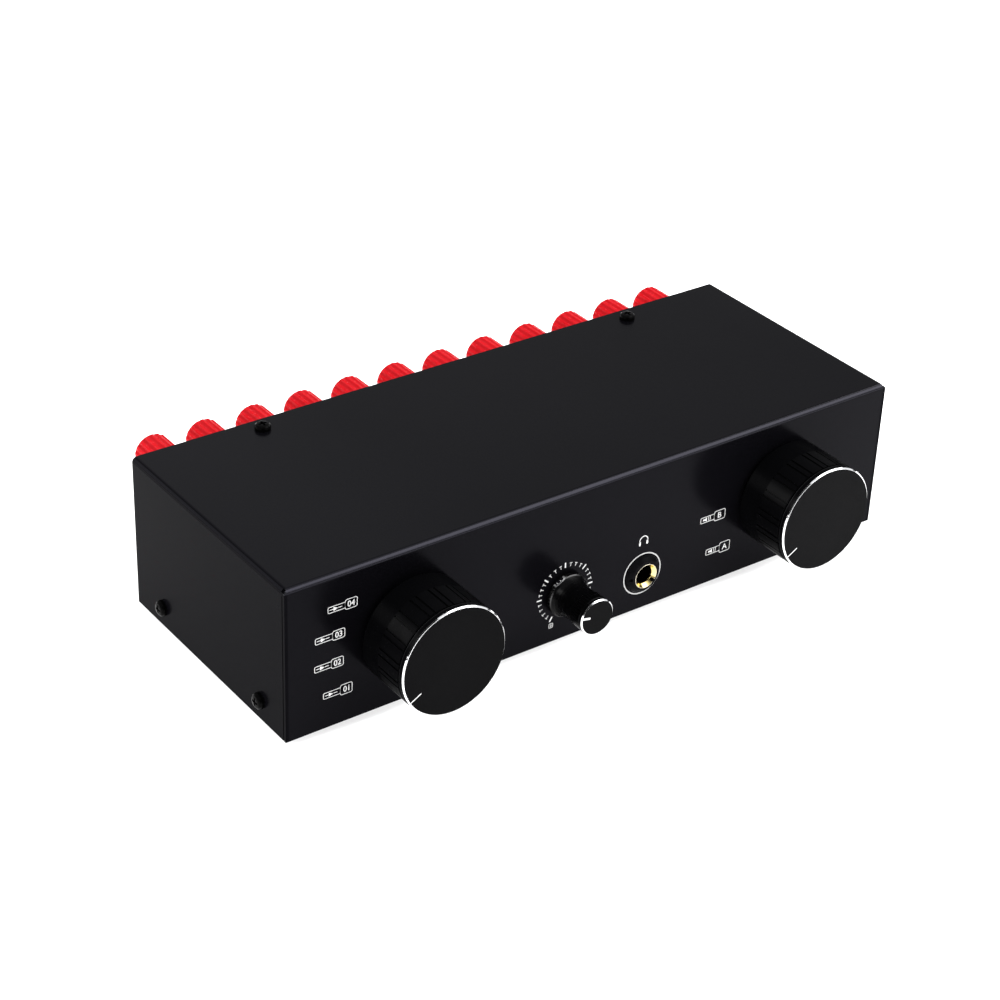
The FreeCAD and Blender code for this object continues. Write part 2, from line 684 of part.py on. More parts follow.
selector("amp", -knob_x, 3)
amp_rotor = PARTS[-1]
selector("speaker", knob_x, 2)
speaker_rotor = PARTS[-1]

# tie rods with spacer sleeves and end nuts: two to each selector


def rod_set(body, x, decks, tag):
    rod, sleeve = cell("rod_radius"), cell("spacer_radius")
    y0 = plate_back + 0.05
    last = deck_y + cell("deck_pitch") * (decks - 1) + cell("deck_thick")
    sk = new_sketch(body, "YZ_Plane", tag + "_rod_half", x)
    # rod with a flat head in front of the plate is turned in one with the pad below
    polygon(sk, [(inner_front + 0.1, 0), (last + 4.0, 0), (last + 4.0, rod), (inner_front + 0.1, rod)])
    item = revolve(body, sk, tag + "_rod")
    sk = new_sketch(body, "YZ_Plane", tag + "_sleeve_half", x)
    polygon(sk, [(y0, rod + 0.1), (deck_y - 0.05, rod + 0.1), (deck_y - 0.05, sleeve), (y0, sleeve)])
    for i in range(decks - 1):
        a = deck_y + cell("deck_pitch") * i + cell("deck_thick") + 0.55
        polygon(sk, [(a, rod + 0.1), (a + cell("deck_pitch") - cell("deck_thick") - 0.6, rod + 0.1),
                     (a + cell("deck_pitch") - cell("deck_thick") - 0.6, sleeve), (a, sleeve)])
    polygon(sk, [(last + 0.55, rod + 0.02), (last + 2.75, rod + 0.02), (last + 2.75, 2.6), (last + 0.55, 2.6)])
    revolve(body, sk, tag + "_sleeves")


body = new_body("switch_tie_rods")
rod_set(body, -knob_x - cell("rod_offset"), 3, "a")
rod_set(body, -knob_x + cell("rod_offset"), 3, "b")
rod_set(body, knob_x - cell("rod_offset"), 2, "c")
rod_set(body, knob_x + cell("rod_offset"), 2, "d")
place(body, 0, 0, knob_z)

# ------------------------------------------------------------------ big knobs


def big_knob(label, screw_label, rotor, x, pointer, out):
    """Turned knob with 18 grip lands; built with the pointer along +X, then turned."""
    face = front - cell("knob_length")
    back = front - cell("knob_gap")
    ring = cell("knob_radius")
    grip = cell("knob_body")
    ch = cell("knob_chamfer")
    sr = cell("shaft_radius") + 0.05
    body = new_body(label)
    neck0 = face + cell("knob_ring")
    flute0 = neck0 + cell("knob_neck")
    sk = new_sketch(body, "YZ_Plane", "knob_half")
    polygon(sk, [
        (face, 0), (face, ring - ch), (face + ch, ring),
        (face + cell("knob_ring") * 0.55, ring), (face + cell("knob_ring") * 0.55 + 0.12, ring - 0.14),
        (face + cell("knob_ring") * 0.55 + 0.24, ring), (neck0 - 0.2, ring), (neck0, ring - 0.2),
        (neck0, grip - 0.9), (flute0, grip - 0.9), (flute0, grip - 0.25), (flute0 + 0.25, grip),
        (back - 0.4, grip), (back, grip - 0.4),
        (back, cell("knob_cavity")), (back - cell("cavity_depth"), cell("knob_cavity")),
        (back - cell("cavity_depth"), 6.5), (back - cell("cavity_depth") + 1.5, 6.5),
        (back - cell("cavity_depth") + 1.5, sr), (face + 5.6, sr), (face + 5.6, 0)])
    turned = revolve(body, sk, "knob_turned")
    # a pair of narrow grooves every 20 degrees leaves a wide land between pairs
    sk = new_sketch(body, "XZ_Plane", "groove_plan", -flute0)
    for angle in (-3.2, 3.2):
        a = math.radians(angle)
        c, s = math.cos(a), math.sin(a)
        r0, r1 = grip - 0.45, grip + 0.6
        w0, w1 = 0.22, 0.42
        polygon(sk, [(r0 * c + w0 * s, r0 * s - w0 * c), (r1 * c + w1 * s, r1 * s - w1 * c),
                     (r1 * c - w1 * s, r1 * s + w1 * c), (r0 * c - w0 * s, r0 * s + w0 * c)])
    groove = pocket(body, sk, "grooves", cell("knob_flute"))
    doc.recompute()
    before = turned.Shape.Volume
    if groove.Shape.Volume > before - 0.5:
        groove.Reversed = True
        doc.recompute()
    ring_of(body, "grip", [groove], 18)
    # pointer line cut into the face
    sk = new_sketch(body, "XZ_Plane", "pointer_plan", -face + 0.5)
    rectangle(sk, cell("pointer_inner"), ring - ch + 0.05, cell("pointer_width") / -2, cell("pointer_width") / 2)
    pocket(body, sk, "pointer", cell("pointer_depth") + 0.5)
    # radial hole for the set screw, opposite the pointer
    sk = new_sketch(body, "YZ_Plane", "set_screw_plan", -ring - 1)
    circle(sk, face + 13.0, 0, 1.6)
    hole = pocket(body, sk, "set_screw_hole", ring + 1 - 2.0)
    doc.recompute()
    tip = body.Tip
    if hole.Shape.Volume > tip.BaseFeature.Shape.Volume - 1.0 if tip.BaseFeature else False:
        hole.Reversed = True
        doc.recompute()

    body2 = new_body(screw_label)
    sk = new_sketch(body2, "XZ_Plane", "set_screw_half")
    flat = cell("shaft_radius") - 0.75 + 0.02
    polygon(sk, [(-flat, 0), (-flat - 5.0, 0), (-flat - 5.0, 1.2), (-flat - 4.7, 1.5),
                 (-flat - 0.6, 1.5), (-flat, 0.9)])
    revolve(body2, sk, "set_screw_turned")
    sk = new_sketch(body2, "YZ_Plane", "hex_plan", -flat - 5.5)
    hexagon(sk, 0, 0, 0.75)
    socket = pocket(body2, sk, "hex_socket", 2.4, reverse=True)

    for item, y in ((body, -out), (body2, face + 13.0 - out), (rotor, Size.of(0.0))):
        turn = Rotation(Vector(0, 1, 0), -pointer.number)
        if item is rotor:
            # the rotor's flat was cut facing +Z; the set screw sits opposite the pointer
            turn = Rotation(Vector(0, 1, 0), -(pointer.number + 90.0))
        item.Placement = Placement(Vector(x.number, y.number, knob_z.number), turn)
        item.setExpression("Placement.Base.x", x.text)
        item.setExpression("Placement.Base.y", y.text)
        item.setExpression("Placement.Base.z", knob_z.text)


big_knob("amp_select_knob", "amp_knob_set_screw", amp_rotor, -knob_x, cell("amp_pointer"),
         cell("amp_knob_out"))
big_knob("speaker_select_knob", "speaker_knob_set_screw", speaker_rotor, knob_x, cell("speaker_pointer"),
         cell("speaker_knob_out"))

# --------------------------------------------------------------- volume control

face = front - cell("volume_length")
back = front - cell("volume_gap")
vr = cell("volume_radius")
vs = cell("volume_skirt")
sr = cell("shaft_radius")
body = new_body("volume_knob")
sk = new_sketch(body, "YZ_Plane", "knob_half")
polygon(sk, [
    (face, 0), (face, vr - 0.42), (face + 0.42, vr), (face + 1.3, vr), (face + 1.5, vr - 0.2),
    (face + 1.7, vr - 0.02), (face + 5.6, vr - 0.02), (face + 5.85, vr - 0.2), (face + 7.0, vr - 0.31),
    (face + 8.2, vr - 0.39), (face + 9.4, vr - 0.42), (face + 10.6, vr - 0.36), (face + 11.7, vr - 0.2),
    (face + 12.7, vr + 0.05), (face + 13.5, vr + 0.34), (face + 14.15, vr + 0.66), (face + 14.65, vs - 0.36),
    (face + 15.0, vs), (back - 0.3, vs), (back, vs - 0.3), (back, cell("volume_cavity")),
    (back - 2.7, cell("volume_cavity")), (back - 2.7, sr + 0.05), (face + 3.4, sr + 0.05), (face + 3.4, 0)])
revolve(body, sk, "knob_turned")
sk = new_sketch(body, "XZ_Plane", "knurl_plan", -face - 1.7)
polygon(sk, [(vr - 0.3, 0), (vr + 0.3, -0.34), (vr + 0.3, 0.34)])
knurl = pocket(body, sk, "knurl", 3.7)
doc.recompute()
if knurl.Shape.Volume > body.Group[1].Shape.Volume - 1e-3 if hasattr(body.Group[1], "Shape") else False:
    knurl.Reversed = True
ring_of(body, "knurls", [knurl], 40)
sk = new_sketch(body, "XZ_Plane", "pointer_plan", -face + 0.5)
rectangle(sk, 2.9, vr - 0.46, -0.45, 0.45)
pocket(body, sk, "pointer", cell("pointer_depth") + 0.5)
body.Placement = Placement(Vector(volume_x.number, 0, volume_z.number),
                           Rotation(Vector(0, 1, 0), -VALUE["volume_pointer"]))
body.setExpression("Placement.Base.x", volume_x.text)
body.setExpression("Placement.Base.z", volume_z.text)

body = new_body("volume_shaft")
sk = new_sketch(body, "YZ_Plane", "shaft_half")
polygon(sk, [(face + 3.6, 0), (face + 3.6, sr - 0.4), (face + 4.0, sr), (inner_front + 2.6, sr),
             (inner_front + 2.6, 6.6), (inner_front + 4.4, 6.6), (inner_front + 4.4, sr - 0.4),
             (inner_front + 9.5, sr - 0.4), (inner_front + 9.5, 0)])
revolve(body, sk, "shaft_turned")
sk = new_sketch(body, "XZ_Plane", "slot_plan", -face - 3.0)
rectangle(sk, -sr - 1, sr + 1, -0.4, 0.4)
pocket(body, sk, "split", 7.0)
place(body, volume_x, 0, volume_z)

body = new_body("volume_pot_housing")
sk = new_sketch(body, "YZ_Plane", "housing_half")
b0 = front - cell("washer_thick") - cell("nut_thick") - 0.8
vb = cell("volume_bushing")
pr = cell("pot_radius")
pd = inner_front + cell("pot_depth")
polygon(sk, [(b0, sr + 0.05), (b0, vb - 0.25), (b0 + 0.25, vb), (inner_front, vb), (inner_front, pr - 0.6),
             (inner_front + 0.6, pr), (pd - 0.6, pr), (pd, pr - 0.6), (pd, 3.0), (pd - 1.0, 3.0),
             (pd - 1.0, pr - 1.0), (inner_front + 1.4, pr - 1.0), (inner_front + 1.4, sr + 0.05)])
revolve(body, sk, "housing_turned")
place(body, volume_x, 0, volume_z)

body = new_body("volume_pot_terminals")
sk = new_sketch(body, "XY_Plane", "terminal_plan", -pr - 5.0)
for x in (-5.0, 0.0, 5.0):
    for y in (3.4, 8.6):
        rectangle(sk, Size.of(x - 0.6), Size.of(x + 0.6), inner_front + y, inner_front + y + 0.5)
pad(body, sk, "terminals", 5.0 - 0.15 + 0.0)
place(body, volume_x, 0, volume_z)

# ------------------------------------------------------------- headphone socket

body = new_body("headphone_jack_sleeve")
js = cell("jack_sleeve")
jb = cell("jack_bore")
jf = front - cell("jack_front")
sk = new_sketch(body, "YZ_Plane", "sleeve_half")
polygon(sk, [(jf, cell("jack_mouth")), (jf, js - 0.05), (jf + 0.05, js), (inner_front + 0.02, js),
             (inner_front + 0.02, js + 2.2), (inner_front + 1.2, js + 2.2), (inner_front + 1.2, js + 0.3),
             (inner_front + 5.0, js + 0.3), (inner_front + 5.0, jb), (jf + cell("jack_cone"), jb)])
revolve(body, sk, "sleeve_turned")
# key slot across the rim, at the lower right
sk = new_sketch(body, "XZ_Plane", "slot_plan", -jf + 0.5)
a = math.radians(-40.0)
c, s = math.cos(a), math.sin(a)
polygon(sk, [(2.6 * c + 0.6 * s, 2.6 * s - 0.6 * c), (5.2 * c + 0.6 * s, 5.2 * s - 0.6 * c),
             (5.2 * c - 0.6 * s, 5.2 * s + 0.6 * c), (2.6 * c - 0.6 * s, 2.6 * s + 0.6 * c)])
pocket(body, sk, "slot", cell("jack_cone") - 0.1 + 0.5)
place(body, jack_x, 0, jack_z)

body = new_body("headphone_jack_nut")
sk = new_sketch(body, "YZ_Plane", "nut_half")
jn = cell("jack_nut")
rise = cell("jack_nut_rise")
polygon(sk, [(front - 0.02, js + 0.06), (front - rise, js + 0.06), (front - rise, js + 0.75),
             (front - rise * 0.93, js + 1.1), (front - rise * 0.75, jn - 0.95), (front - rise * 0.5, jn - 0.4),
             (front - rise * 0.25, jn - 0.12), (front - rise * 0.12, jn), (front - 0.02, jn)])
revolve(body, sk, "nut_turned")
sk = new_sketch(body, "XZ_Plane", "spanner_plan", -front + rise + 0.5)
rectangle(sk, jn * -1 - 1, -js - 0.7, -0.5, 0.5)
rectangle(sk, js + 0.7, jn + 1, -0.5, 0.5)
pocket(body, sk, "spanner_slots", 0.5 + rise * 0.45)
place(body, jack_x, 0, jack_z)

body = new_body("headphone_jack_housing")
hb = cell("jack_box") / 2
h0 = inner_front + 5.05
h1 = h0 + cell("jack_length") - 5
sk = new_sketch(body, "XZ_Plane", "housing_plan", -h0)
rectangle(sk, -hb, hb, -hb, hb)
block = pad(body, sk, "housing_block", cell("jack_length") - 5, reverse=True)
doc.recompute()
long_edges = edges_where(block.Shape, lambda e, m: along(e, "y"))
round_edges(body, block, long_edges, "housing_corners", 0.8)
sk = new_sketch(body, "XZ_Plane", "plug_way_plan", -h0 + 1)
circle(sk, 0, 0, jb + 0.25)
pocket(body, sk, "plug_way", cell("jack_length") + 2, reverse=False)
sk = new_sketch(body, "XY_Plane", "leaf_slot_plan", 2.6)
rectangle(sk, -2.3, 2.3, h0 + 2.0, h1 + 1.0)
pocket(body, sk, "leaf_slot_top", 12.0, reverse=True)
sk = new_sketch(body, "XY_Plane", "leaf_slot_low_plan", -2.6)
rectangle(sk, -2.3, 2.3, h0 + 2.0, h1 + 1.0)
pocket(body, sk, "leaf_slot_low", 12.0)
place(body, jack_x, 0, jack_z)

body = new_body("headphone_jack_contacts")
sk = new_sketch(body, "YZ_Plane", "leaf_profile", -1.5)
for sign in (1, -1):
    t = 0.35
    run = [(h0 + 3.0, 6.6), (h0 + 12.0, 3.75), (h0 + 15.5, 5.2), (h1 - 1.0, 5.2), (h1 + 5.0, 5.2)]
    lower = [(u, sign * v) for u, v in run]
    upper = [(u, sign * (v + t)) for u, v in reversed(run)]
    polygon(sk, lower + upper)
pad(body, sk, "leaves", 3.0)
place(body, jack_x, 0, jack_z)

# ---------------------------------------------------------------- terminals
# Stack behind the rear panel: collar, stud flange, cap.  Inside the panel:
# insulating washer, ring lug, nut.

collar_y = rear + cell("collar_depth")
flange_y = collar_y + cell("flange_depth")
cap_y = flange_y + cell("cap_gap")
cap_end = rear + cell("post_reach")
stud_end = cap_end - cell("cap_recess")
insulator_y = rear - wall - cell("insulator_thick")
lug_y = insulator_y - cell("lug_thick")
nut_y = lug_y - cell("hex_thick")

body = new_body("post_studs")
sk = new_sketch(body, "YZ_Plane", "stud_half")
tail = cell("post_tail")
stud = cell("post_stud")
points = [(rear - wall - cell("tail_length"), 0), (rear - wall - cell("tail_length"), tail - 0.4),
          (rear - wall - cell("tail_length") + 0.4, tail), (collar_y, tail), (collar_y, cell("post_flange")),
          (flange_y, cell("post_flange")), (flange_y, stud - 0.3), (flange_y + 3.0, stud - 0.3),
          (flange_y + 3.2, stud)]
# turned thread relief rings on the part that shows when the cap is backed off
for i in range(5):
    y = flange_y + 3.6 + 1.1 * i
    points += [(y, stud), (y + 0.3, stud - 0.28), (y + 0.6, stud)]
points += [(stud_end - 0.3, stud), (stud_end, stud - 0.3), (stud_end, cell("post_socket") + 0.3),
           (stud_end - 0.3, cell("post_socket")), (stud_end - cell("socket_depth"), cell("post_socket")),
           (stud_end - cell("socket_depth"), 0)]
polygon(sk, points)
revolve(body, sk, "stud_turned")
sk = new_sketch(body, "XY_Plane", "wire_hole_plan")
circle(sk, 0, flange_y + 1.3, cell("wire_hole"))
pocket(body, sk, "wire_hole", both=True)
row_of(body, "studs_across", "X_Axis", cell("post_pitch"), 12)
row_of(body, "studs", "Z_Axis", cell("post_row"), 2)
place(body, cell("post_first"), 0, post_low_z)

for label, z in (("red_post_collars", post_high_z), ("black_post_collars", post_low_z)):
    body = new_body(label)
    sk = new_sketch(body, "YZ_Plane", "collar_half")
    bore = tail + 0.1
    pc = cell("post_collar")
    polygon(sk, [(rear - wall, bore), (rear - wall, cell("collar_step")), (rear, cell("collar_step")),
                 (rear, pc), (collar_y - 0.5, pc), (collar_y, pc - 0.5), (collar_y, bore)])
    revolve(body, sk, "collar_turned")
    row_of(body, "collars", "X_Axis", cell("post_pitch"), 12)
    place(body, cell("post_first"), 0, z)

body = new_body("post_inner_insulators")
sk = new_sketch(body, "XZ_Plane", "insulator_plan", -insulator_y)
circle(sk, 0, 0, cell("insulator_radius"))
circle(sk, 0, 0, tail + 0.1)
pad(body, sk, "insulator", cell("insulator_thick") - 0.02, reverse=True)
row_of(body, "insulators_across", "X_Axis", cell("post_pitch"), 12)
row_of(body, "insulators", "Z_Axis", cell("post_row"), 2)
place(body, cell("post_first"), 0, post_low_z)

body = new_body("post_ring_lugs")
sk = new_sketch(body, "XZ_Plane", "ring_plan", -lug_y)
circle(sk, 0, 0, 4.0)
pad(body, sk, "ring", cell("lug_thick") - 0.02, reverse=True)
sk = new_sketch(body, "XZ_Plane", "tail_plan", -lug_y)
rectangle(sk, 3.0, cell("lug_reach"), -1.4, 1.4)
pad(body, sk, "tail", cell("lug_thick") - 0.02, reverse=True)
sk = new_sketch(body, "XZ_Plane", "lug_hole_plan")
circle(sk, 0, 0, tail + 0.1)
pocket(body, sk, "lug_hole", both=True)
row_of(body, "lugs_across", "X_Axis", cell("post_pitch"), 12)
row_of(body, "lugs", "Z_Axis", cell("post_row"), 2)
place(body, cell("post_first"), 0, post_low_z)

body = new_body("post_hex_nuts")
sk = new_sketch(body, "XZ_Plane", "nut_plan", -nut_y)
hexagon(sk, 0, 0, cell("hex_nut"))
circle(sk, 0, 0, tail + 0.12)
pad(body, sk, "nut", cell("hex_thick") - 0.02, reverse=True)
row_of(body, "nuts_across", "X_Axis", cell("post_pitch"), 12)
row_of(body, "nuts", "Z_Axis", cell("post_row"), 2)
place(body, cell("post_first"), 0, post_low_z)


def post_cap(label, x, z):
    """Fluted screw cap, closed at the rest position."""
    body = new_body(label)
    cap = cell("post_cap")
    sk = new_sketch(body, "YZ_Plane", "cap_half")
    polygon(sk, [(cap_y, cell("cap_thread")), (cap_y, cap - 0.5), (cap_y + 0.5, cap), (cap_end - 0.7, cap),
                 (cap_end - 0.2, cap - 0.35), (cap_end, cap - 0.8), (cap_end, cell("cap_mouth") + 0.5),
                 (cap_end - 0.35, cell("cap_mouth")), (stud_end + 0.15, cell("cap_mouth")),
                 (stud_end + 0.15, cell("cap_thread"))])
    turned = revolve(body, sk, "cap_turned")
    sk = new_sketch(body, "XZ_Plane", "flute_plan", -cap_y - 1.4)
    circle(sk, cap + 0.5, 0, cell("flute_radius"))
    flute = pocket(body, sk, "flute", cell("post_reach"))
    ring_of(body, "flutes", [flute], 18)
    place(body, x, 0, z)
    return body


for i in range(12):
    post_cap("red_post_cap_%02d" % (i + 1), cell("post_first") + cell("post_pitch") * i, post_high_z)
for i in range(12):
    post_cap("black_post_cap_%02d" % (i + 1), cell("post_first") + cell("post_pitch") * i, post_low_z)

# ------------------------------------------------------------- wires and board

body = new_body("wiring_loom")
trunk_y = cell("trunk_depth")
lug_x = cell("lug_reach") - 1.6
sk = new_sketch(body, "YZ_Plane", "trunk_plan", cell("post_first") + lug_x - 4)
circle(sk, trunk_y, post_low_z, cell("trunk_radius"))
circle(sk, trunk_y, post_high_z, cell("trunk_radius"))
pad(body, sk, "trunks", cell("post_pitch") * 11 + 6)
sk = new_sketch(body, "XZ_Plane", "branch_plan", -lug_y + 0.02)
for i in range(12):
    for z in (post_low_z, post_high_z):
        circle(sk, cell("post_first") + cell("post_pitch") * i + lug_x, z, cell("wire_radius"))
pad(body, sk, "branches", lug_y - trunk_y - 0.02)
# leads from the bundles to the rear lugs of each selector
reach = cell("plate_tall") / 2 + 1.2
for tag, x, decks in (("amp", -knob_x, 3), ("speaker", knob_x, 2)):
    sk = new_sketch(body, "XZ_Plane", tag + "_lead_plan", -trunk_y)
    for angle in (75, 105, 255, 285):
        a = math.radians(angle)
        circle(sk, x + reach * math.cos(a), knob_z + reach * math.sin(a), cell("wire_radius"))
    pad(body, sk, tag + "_leads", trunk_y - deck_y - cell("deck_pitch") * (decks - 1) - cell("deck_thick") - 0.52)
# lead down to the board
bz = low + wall + cell("board_rise")
sk = new_sketch(body, "XZ_Plane", "board_lead_plan", -trunk_y)
circle(sk, 6.0, post_low_z, cell("tail_radius"))
pad(body, sk, "board_lead", 14.0)
sk = new_sketch(body, "XY_Plane", "board_drop_plan", bz + cell("board_thick") + 0.02)
circle(sk, 6.0, trunk_y - 14.0, cell("tail_radius"))
pad(body, sk, "board_drop", post_low_z - bz - cell("board_thick"))

body = new_body("headphone_pad_board")
by = Size.of(-9.0)
sk = new_sketch(body, "XY_Plane", "board_plan", bz)
bw, bd = cell("board_width") / 2, cell("board_deep")
rectangle(sk, -bw, bw, by, by + bd)
pad(body, sk, "board", cell("board_thick"))
sk = new_sketch(body, "XY_Plane", "standoff_plan", low + wall)
for x in (-bw + 4, bw - 4):
    for y in (by + 4, by + bd - 4):
        circle(sk, x, y, 2.4)
pad(body, sk, "standoffs", cell("board_rise") + 0.5)
sk = new_sketch(body, "XY_Plane", "resistor_plan", bz + cell("board_thick"))
for i in range(4):
    rectangle(sk, Size.of(-14.0), Size.of(-1.0), by + 3.5 + 5.5 * i, by + 6.5 + 5.5 * i)
rectangle(sk, Size.of(5.0), Size.of(16.0), by + 6.0, by + 19.0)
pad(body, sk, "resistors", 3.4)
place(body, 4.0, 0, 0)

# ------------------------------------------------------------ checks and output

doc.recompute()
problems = []
for item in doc.Objects:
    if any(flag in ("Invalid", "Error") for flag in item.State):
        problems.append("%s (%s): %s" % (item.Label, item.Name, item.State))
for item in PARTS:
    if item.Shape.isNull() or not item.Shape.isValid() or not item.Shape.Solids:
        problems.append("%s: shape is null or not valid" % item.Label)
if problems:
    raise RuntimeError("; ".join(problems))

os.makedirs("parts", exist_ok=True)
for item in PARTS:
    item.Shape.exportStep("parts/%s.step" % item.Label)
print("%d sub-parts, %d solids" % (len(PARTS), sum(len(p.Shape.Solids) for p in PARTS)))
for item in PARTS:
    box = item.Shape.BoundBox
    print("%-26s %3d solids %10.1f mm3  x %.2f..%.2f  y %.2f..%.2f  z %.2f..%.2f" % (
        item.Label, len(item.Shape.Solids), item.Shape.Volume,
        box.XMin, box.XMax, box.YMin, box.YMax, box.ZMin, box.ZMax))
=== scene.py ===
import math

import bmesh
import bpy
from mathutils import Matrix, Vector


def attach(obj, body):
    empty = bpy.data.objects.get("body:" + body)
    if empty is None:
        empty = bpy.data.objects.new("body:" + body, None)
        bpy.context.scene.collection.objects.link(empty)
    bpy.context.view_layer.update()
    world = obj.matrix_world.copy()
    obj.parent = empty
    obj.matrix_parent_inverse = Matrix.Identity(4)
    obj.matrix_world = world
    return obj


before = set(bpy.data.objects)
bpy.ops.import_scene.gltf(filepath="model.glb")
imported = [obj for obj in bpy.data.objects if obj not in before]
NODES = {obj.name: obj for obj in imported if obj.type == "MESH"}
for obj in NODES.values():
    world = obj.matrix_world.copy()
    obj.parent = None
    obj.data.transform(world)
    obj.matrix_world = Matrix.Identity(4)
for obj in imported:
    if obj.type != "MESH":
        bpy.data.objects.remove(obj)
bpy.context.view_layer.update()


MM = 0.001
FRONT = -44.0
REAR = 49.0
KNOB_Z = 30.25
KNOB_X = 75.8
AMP_FACE = -68.05
SPEAKER_FACE = -67.3
KNOB_RADIUS, CHAMFER = 18.95, 0.45
AMP_POINTER = 210.6
SPEAKER_POINTER = 211.2
VOLUME_X, VOLUME_Z = -15.5, 20.55
VOLUME_FACE = -61.35
VOLUME_RADIUS, VOLUME_CHAMFER = 6.45, 0.42
VOLUME_POINTER = 168.0
JACK_X, JACK_Z = 16.8, 16.7
POST_FIRST, POST_PITCH = -104.5, 19.0
POST_LOW, POST_HIGH = 14.3, 46.7

# ------------------------------------------------------------------ materials


class Look:
    """A procedural material built around one Principled shader."""

    def __init__(self, name):
        self.mat = bpy.data.materials.new(name)
        self.mat.use_nodes = True
        self.tree = self.mat.node_tree
        self.tree.nodes.clear()
        self.out = self.tree.nodes.new("ShaderNodeOutputMaterial")
        self.shader = self.tree.nodes.new("ShaderNodeBsdfPrincipled")
        self.tree.links.new(self.shader.outputs["BSDF"], self.out.inputs["Surface"])
        self.coord = self.tree.nodes.new("ShaderNodeTexCoord")
        self.height = None

    def set(self, **values):
        names = {"rough": "Roughness", "metal": "Metallic", "spec": "Specular IOR Level", "ior": "IOR",
                 "coat": "Coat Weight", "coat_rough": "Coat Roughness", "sss": "Subsurface Weight",
                 "sss_scale": "Subsurface Scale", "transmission": "Transmission Weight",
                 "sheen": "Sheen Weight", "aniso": "Anisotropic"}
        for key, value in values.items():
            self.shader.inputs[names[key]].default_value = value
        return self

    def node(self, kind, **props):
        item = self.tree.nodes.new(kind)
        for key, value in props.items():
            setattr(item, key, value)
        return item

    def link(self, a, b):
        self.tree.links.new(a, b)

    def math(self, op, a, b=None, c=None, clamp=False):
        item = self.node("ShaderNodeMath", operation=op, use_clamp=clamp)
        for i, value in enumerate((a, b, c)):
            if value is None:
                continue
            if isinstance(value, (int, float)):
                item.inputs[i].default_value = value
            else:
                self.link(value, item.inputs[i])
        return item.outputs[0]

    def place(self, scale=(1, 1, 1), offset=(0, 0, 0)):
        item = self.node("ShaderNodeMapping")
        item.inputs["Scale"].default_value = scale
        item.inputs["Location"].default_value = offset
        self.link(self.coord.outputs["Object"], item.inputs["Vector"])
        return item.outputs["Vector"]

    def noise(self, scale, detail=3.0, rough=0.55, stretch=(1, 1, 1), offset=(0, 0, 0), distortion=0.0):
        item = self.node("ShaderNodeTexNoise")
        item.inputs["Scale"].default_value = scale
        item.inputs["Detail"].default_value = detail
        item.inputs["Roughness"].default_value = rough
        item.inputs["Distortion"].default_value = distortion
        self.link(self.place(stretch, offset), item.inputs["Vector"])
        return item.outputs["Fac"]

    def cells(self, scale, stretch=(1, 1, 1), feature="F1"):
        item = self.node("ShaderNodeTexVoronoi", feature=feature)
        item.inputs["Scale"].default_value = scale
        self.link(self.place(stretch), item.inputs["Vector"])
        return item.outputs["Distance"]

    def remap(self, value, low, high, out_low=0.0, out_high=1.0, smooth=False):
        item = self.node("ShaderNodeMapRange", clamp=True)
        if smooth:
            item.interpolation_type = "SMOOTHSTEP"
        self.link(value, item.inputs["Value"])
        item.inputs["From Min"].default_value = low
        item.inputs["From Max"].default_value = high
        item.inputs["To Min"].default_value = out_low
        item.inputs["To Max"].default_value = out_high
        return item.outputs["Result"]

    def mix(self, factor, a, b):
        item = self.node("ShaderNodeMix", data_type="RGBA")
        if isinstance(factor, (int, float)):
            item.inputs["Factor"].default_value = factor
        else:
            self.link(factor, item.inputs["Factor"])
        for value, socket in ((a, item.inputs[6]), (b, item.inputs[7])):
            if isinstance(value, tuple):
                socket.default_value = (*value, 1.0)
            else:
                self.link(value, socket)
        return item.outputs[2]

    def blend(self, factor, a, b):
        """Mix of two plain numbers or sockets."""
        item = self.node("ShaderNodeMix", data_type="FLOAT")
        self.link(factor, item.inputs["Factor"])
        for value, socket in ((a, item.inputs[2]), (b, item.inputs[3])):
            if isinstance(value, (int, float)):
                socket.default_value = value
            else:
                self.link(value, socket)
        return item.outputs[0]

    def color(self, socket):
        self.link(socket, self.shader.inputs["Base Color"])
        return self

    def rough(self, socket):
        self.link(socket, self.shader.inputs["Roughness"])
        return self

    def bump(self, height, strength, distance_mm):
        item = self.node("ShaderNodeBump")
        item.inputs["Strength"].default_value = strength
        item.inputs["Distance"].default_value = distance_mm * MM
        self.link(height, item.inputs["Height"])
        if self.height is not None:
            self.link(self.height, item.inputs["Normal"])
        self.height = item.outputs["Normal"]
        self.link(self.height, self.shader.inputs["Normal"])
        return self

    def axes(self):
        item = self.node("ShaderNodeSeparateXYZ")
        self.link(self.coord.outputs["Object"], item.inputs["Vector"])
        return item.outputs["X"], item.outputs["Y"], item.outputs["Z"]

    def radius(self, cx, cz):
        """Distance in mm from the axis along Y through (cx, cz) mm."""
        x, _, z = self.axes()
        dx = self.math("SUBTRACT", x, cx * MM)
        dz = self.math("SUBTRACT", z, cz * MM)
        squares = self.math("ADD", self.math("MULTIPLY", dx, dx), self.math("MULTIPLY", dz, dz))
        return self.math("MULTIPLY", self.math("SQRT", squares), 1000.0)

    def depth(self):
        """Y in mm."""
        return self.math("MULTIPLY", self.axes()[1], 1000.0)


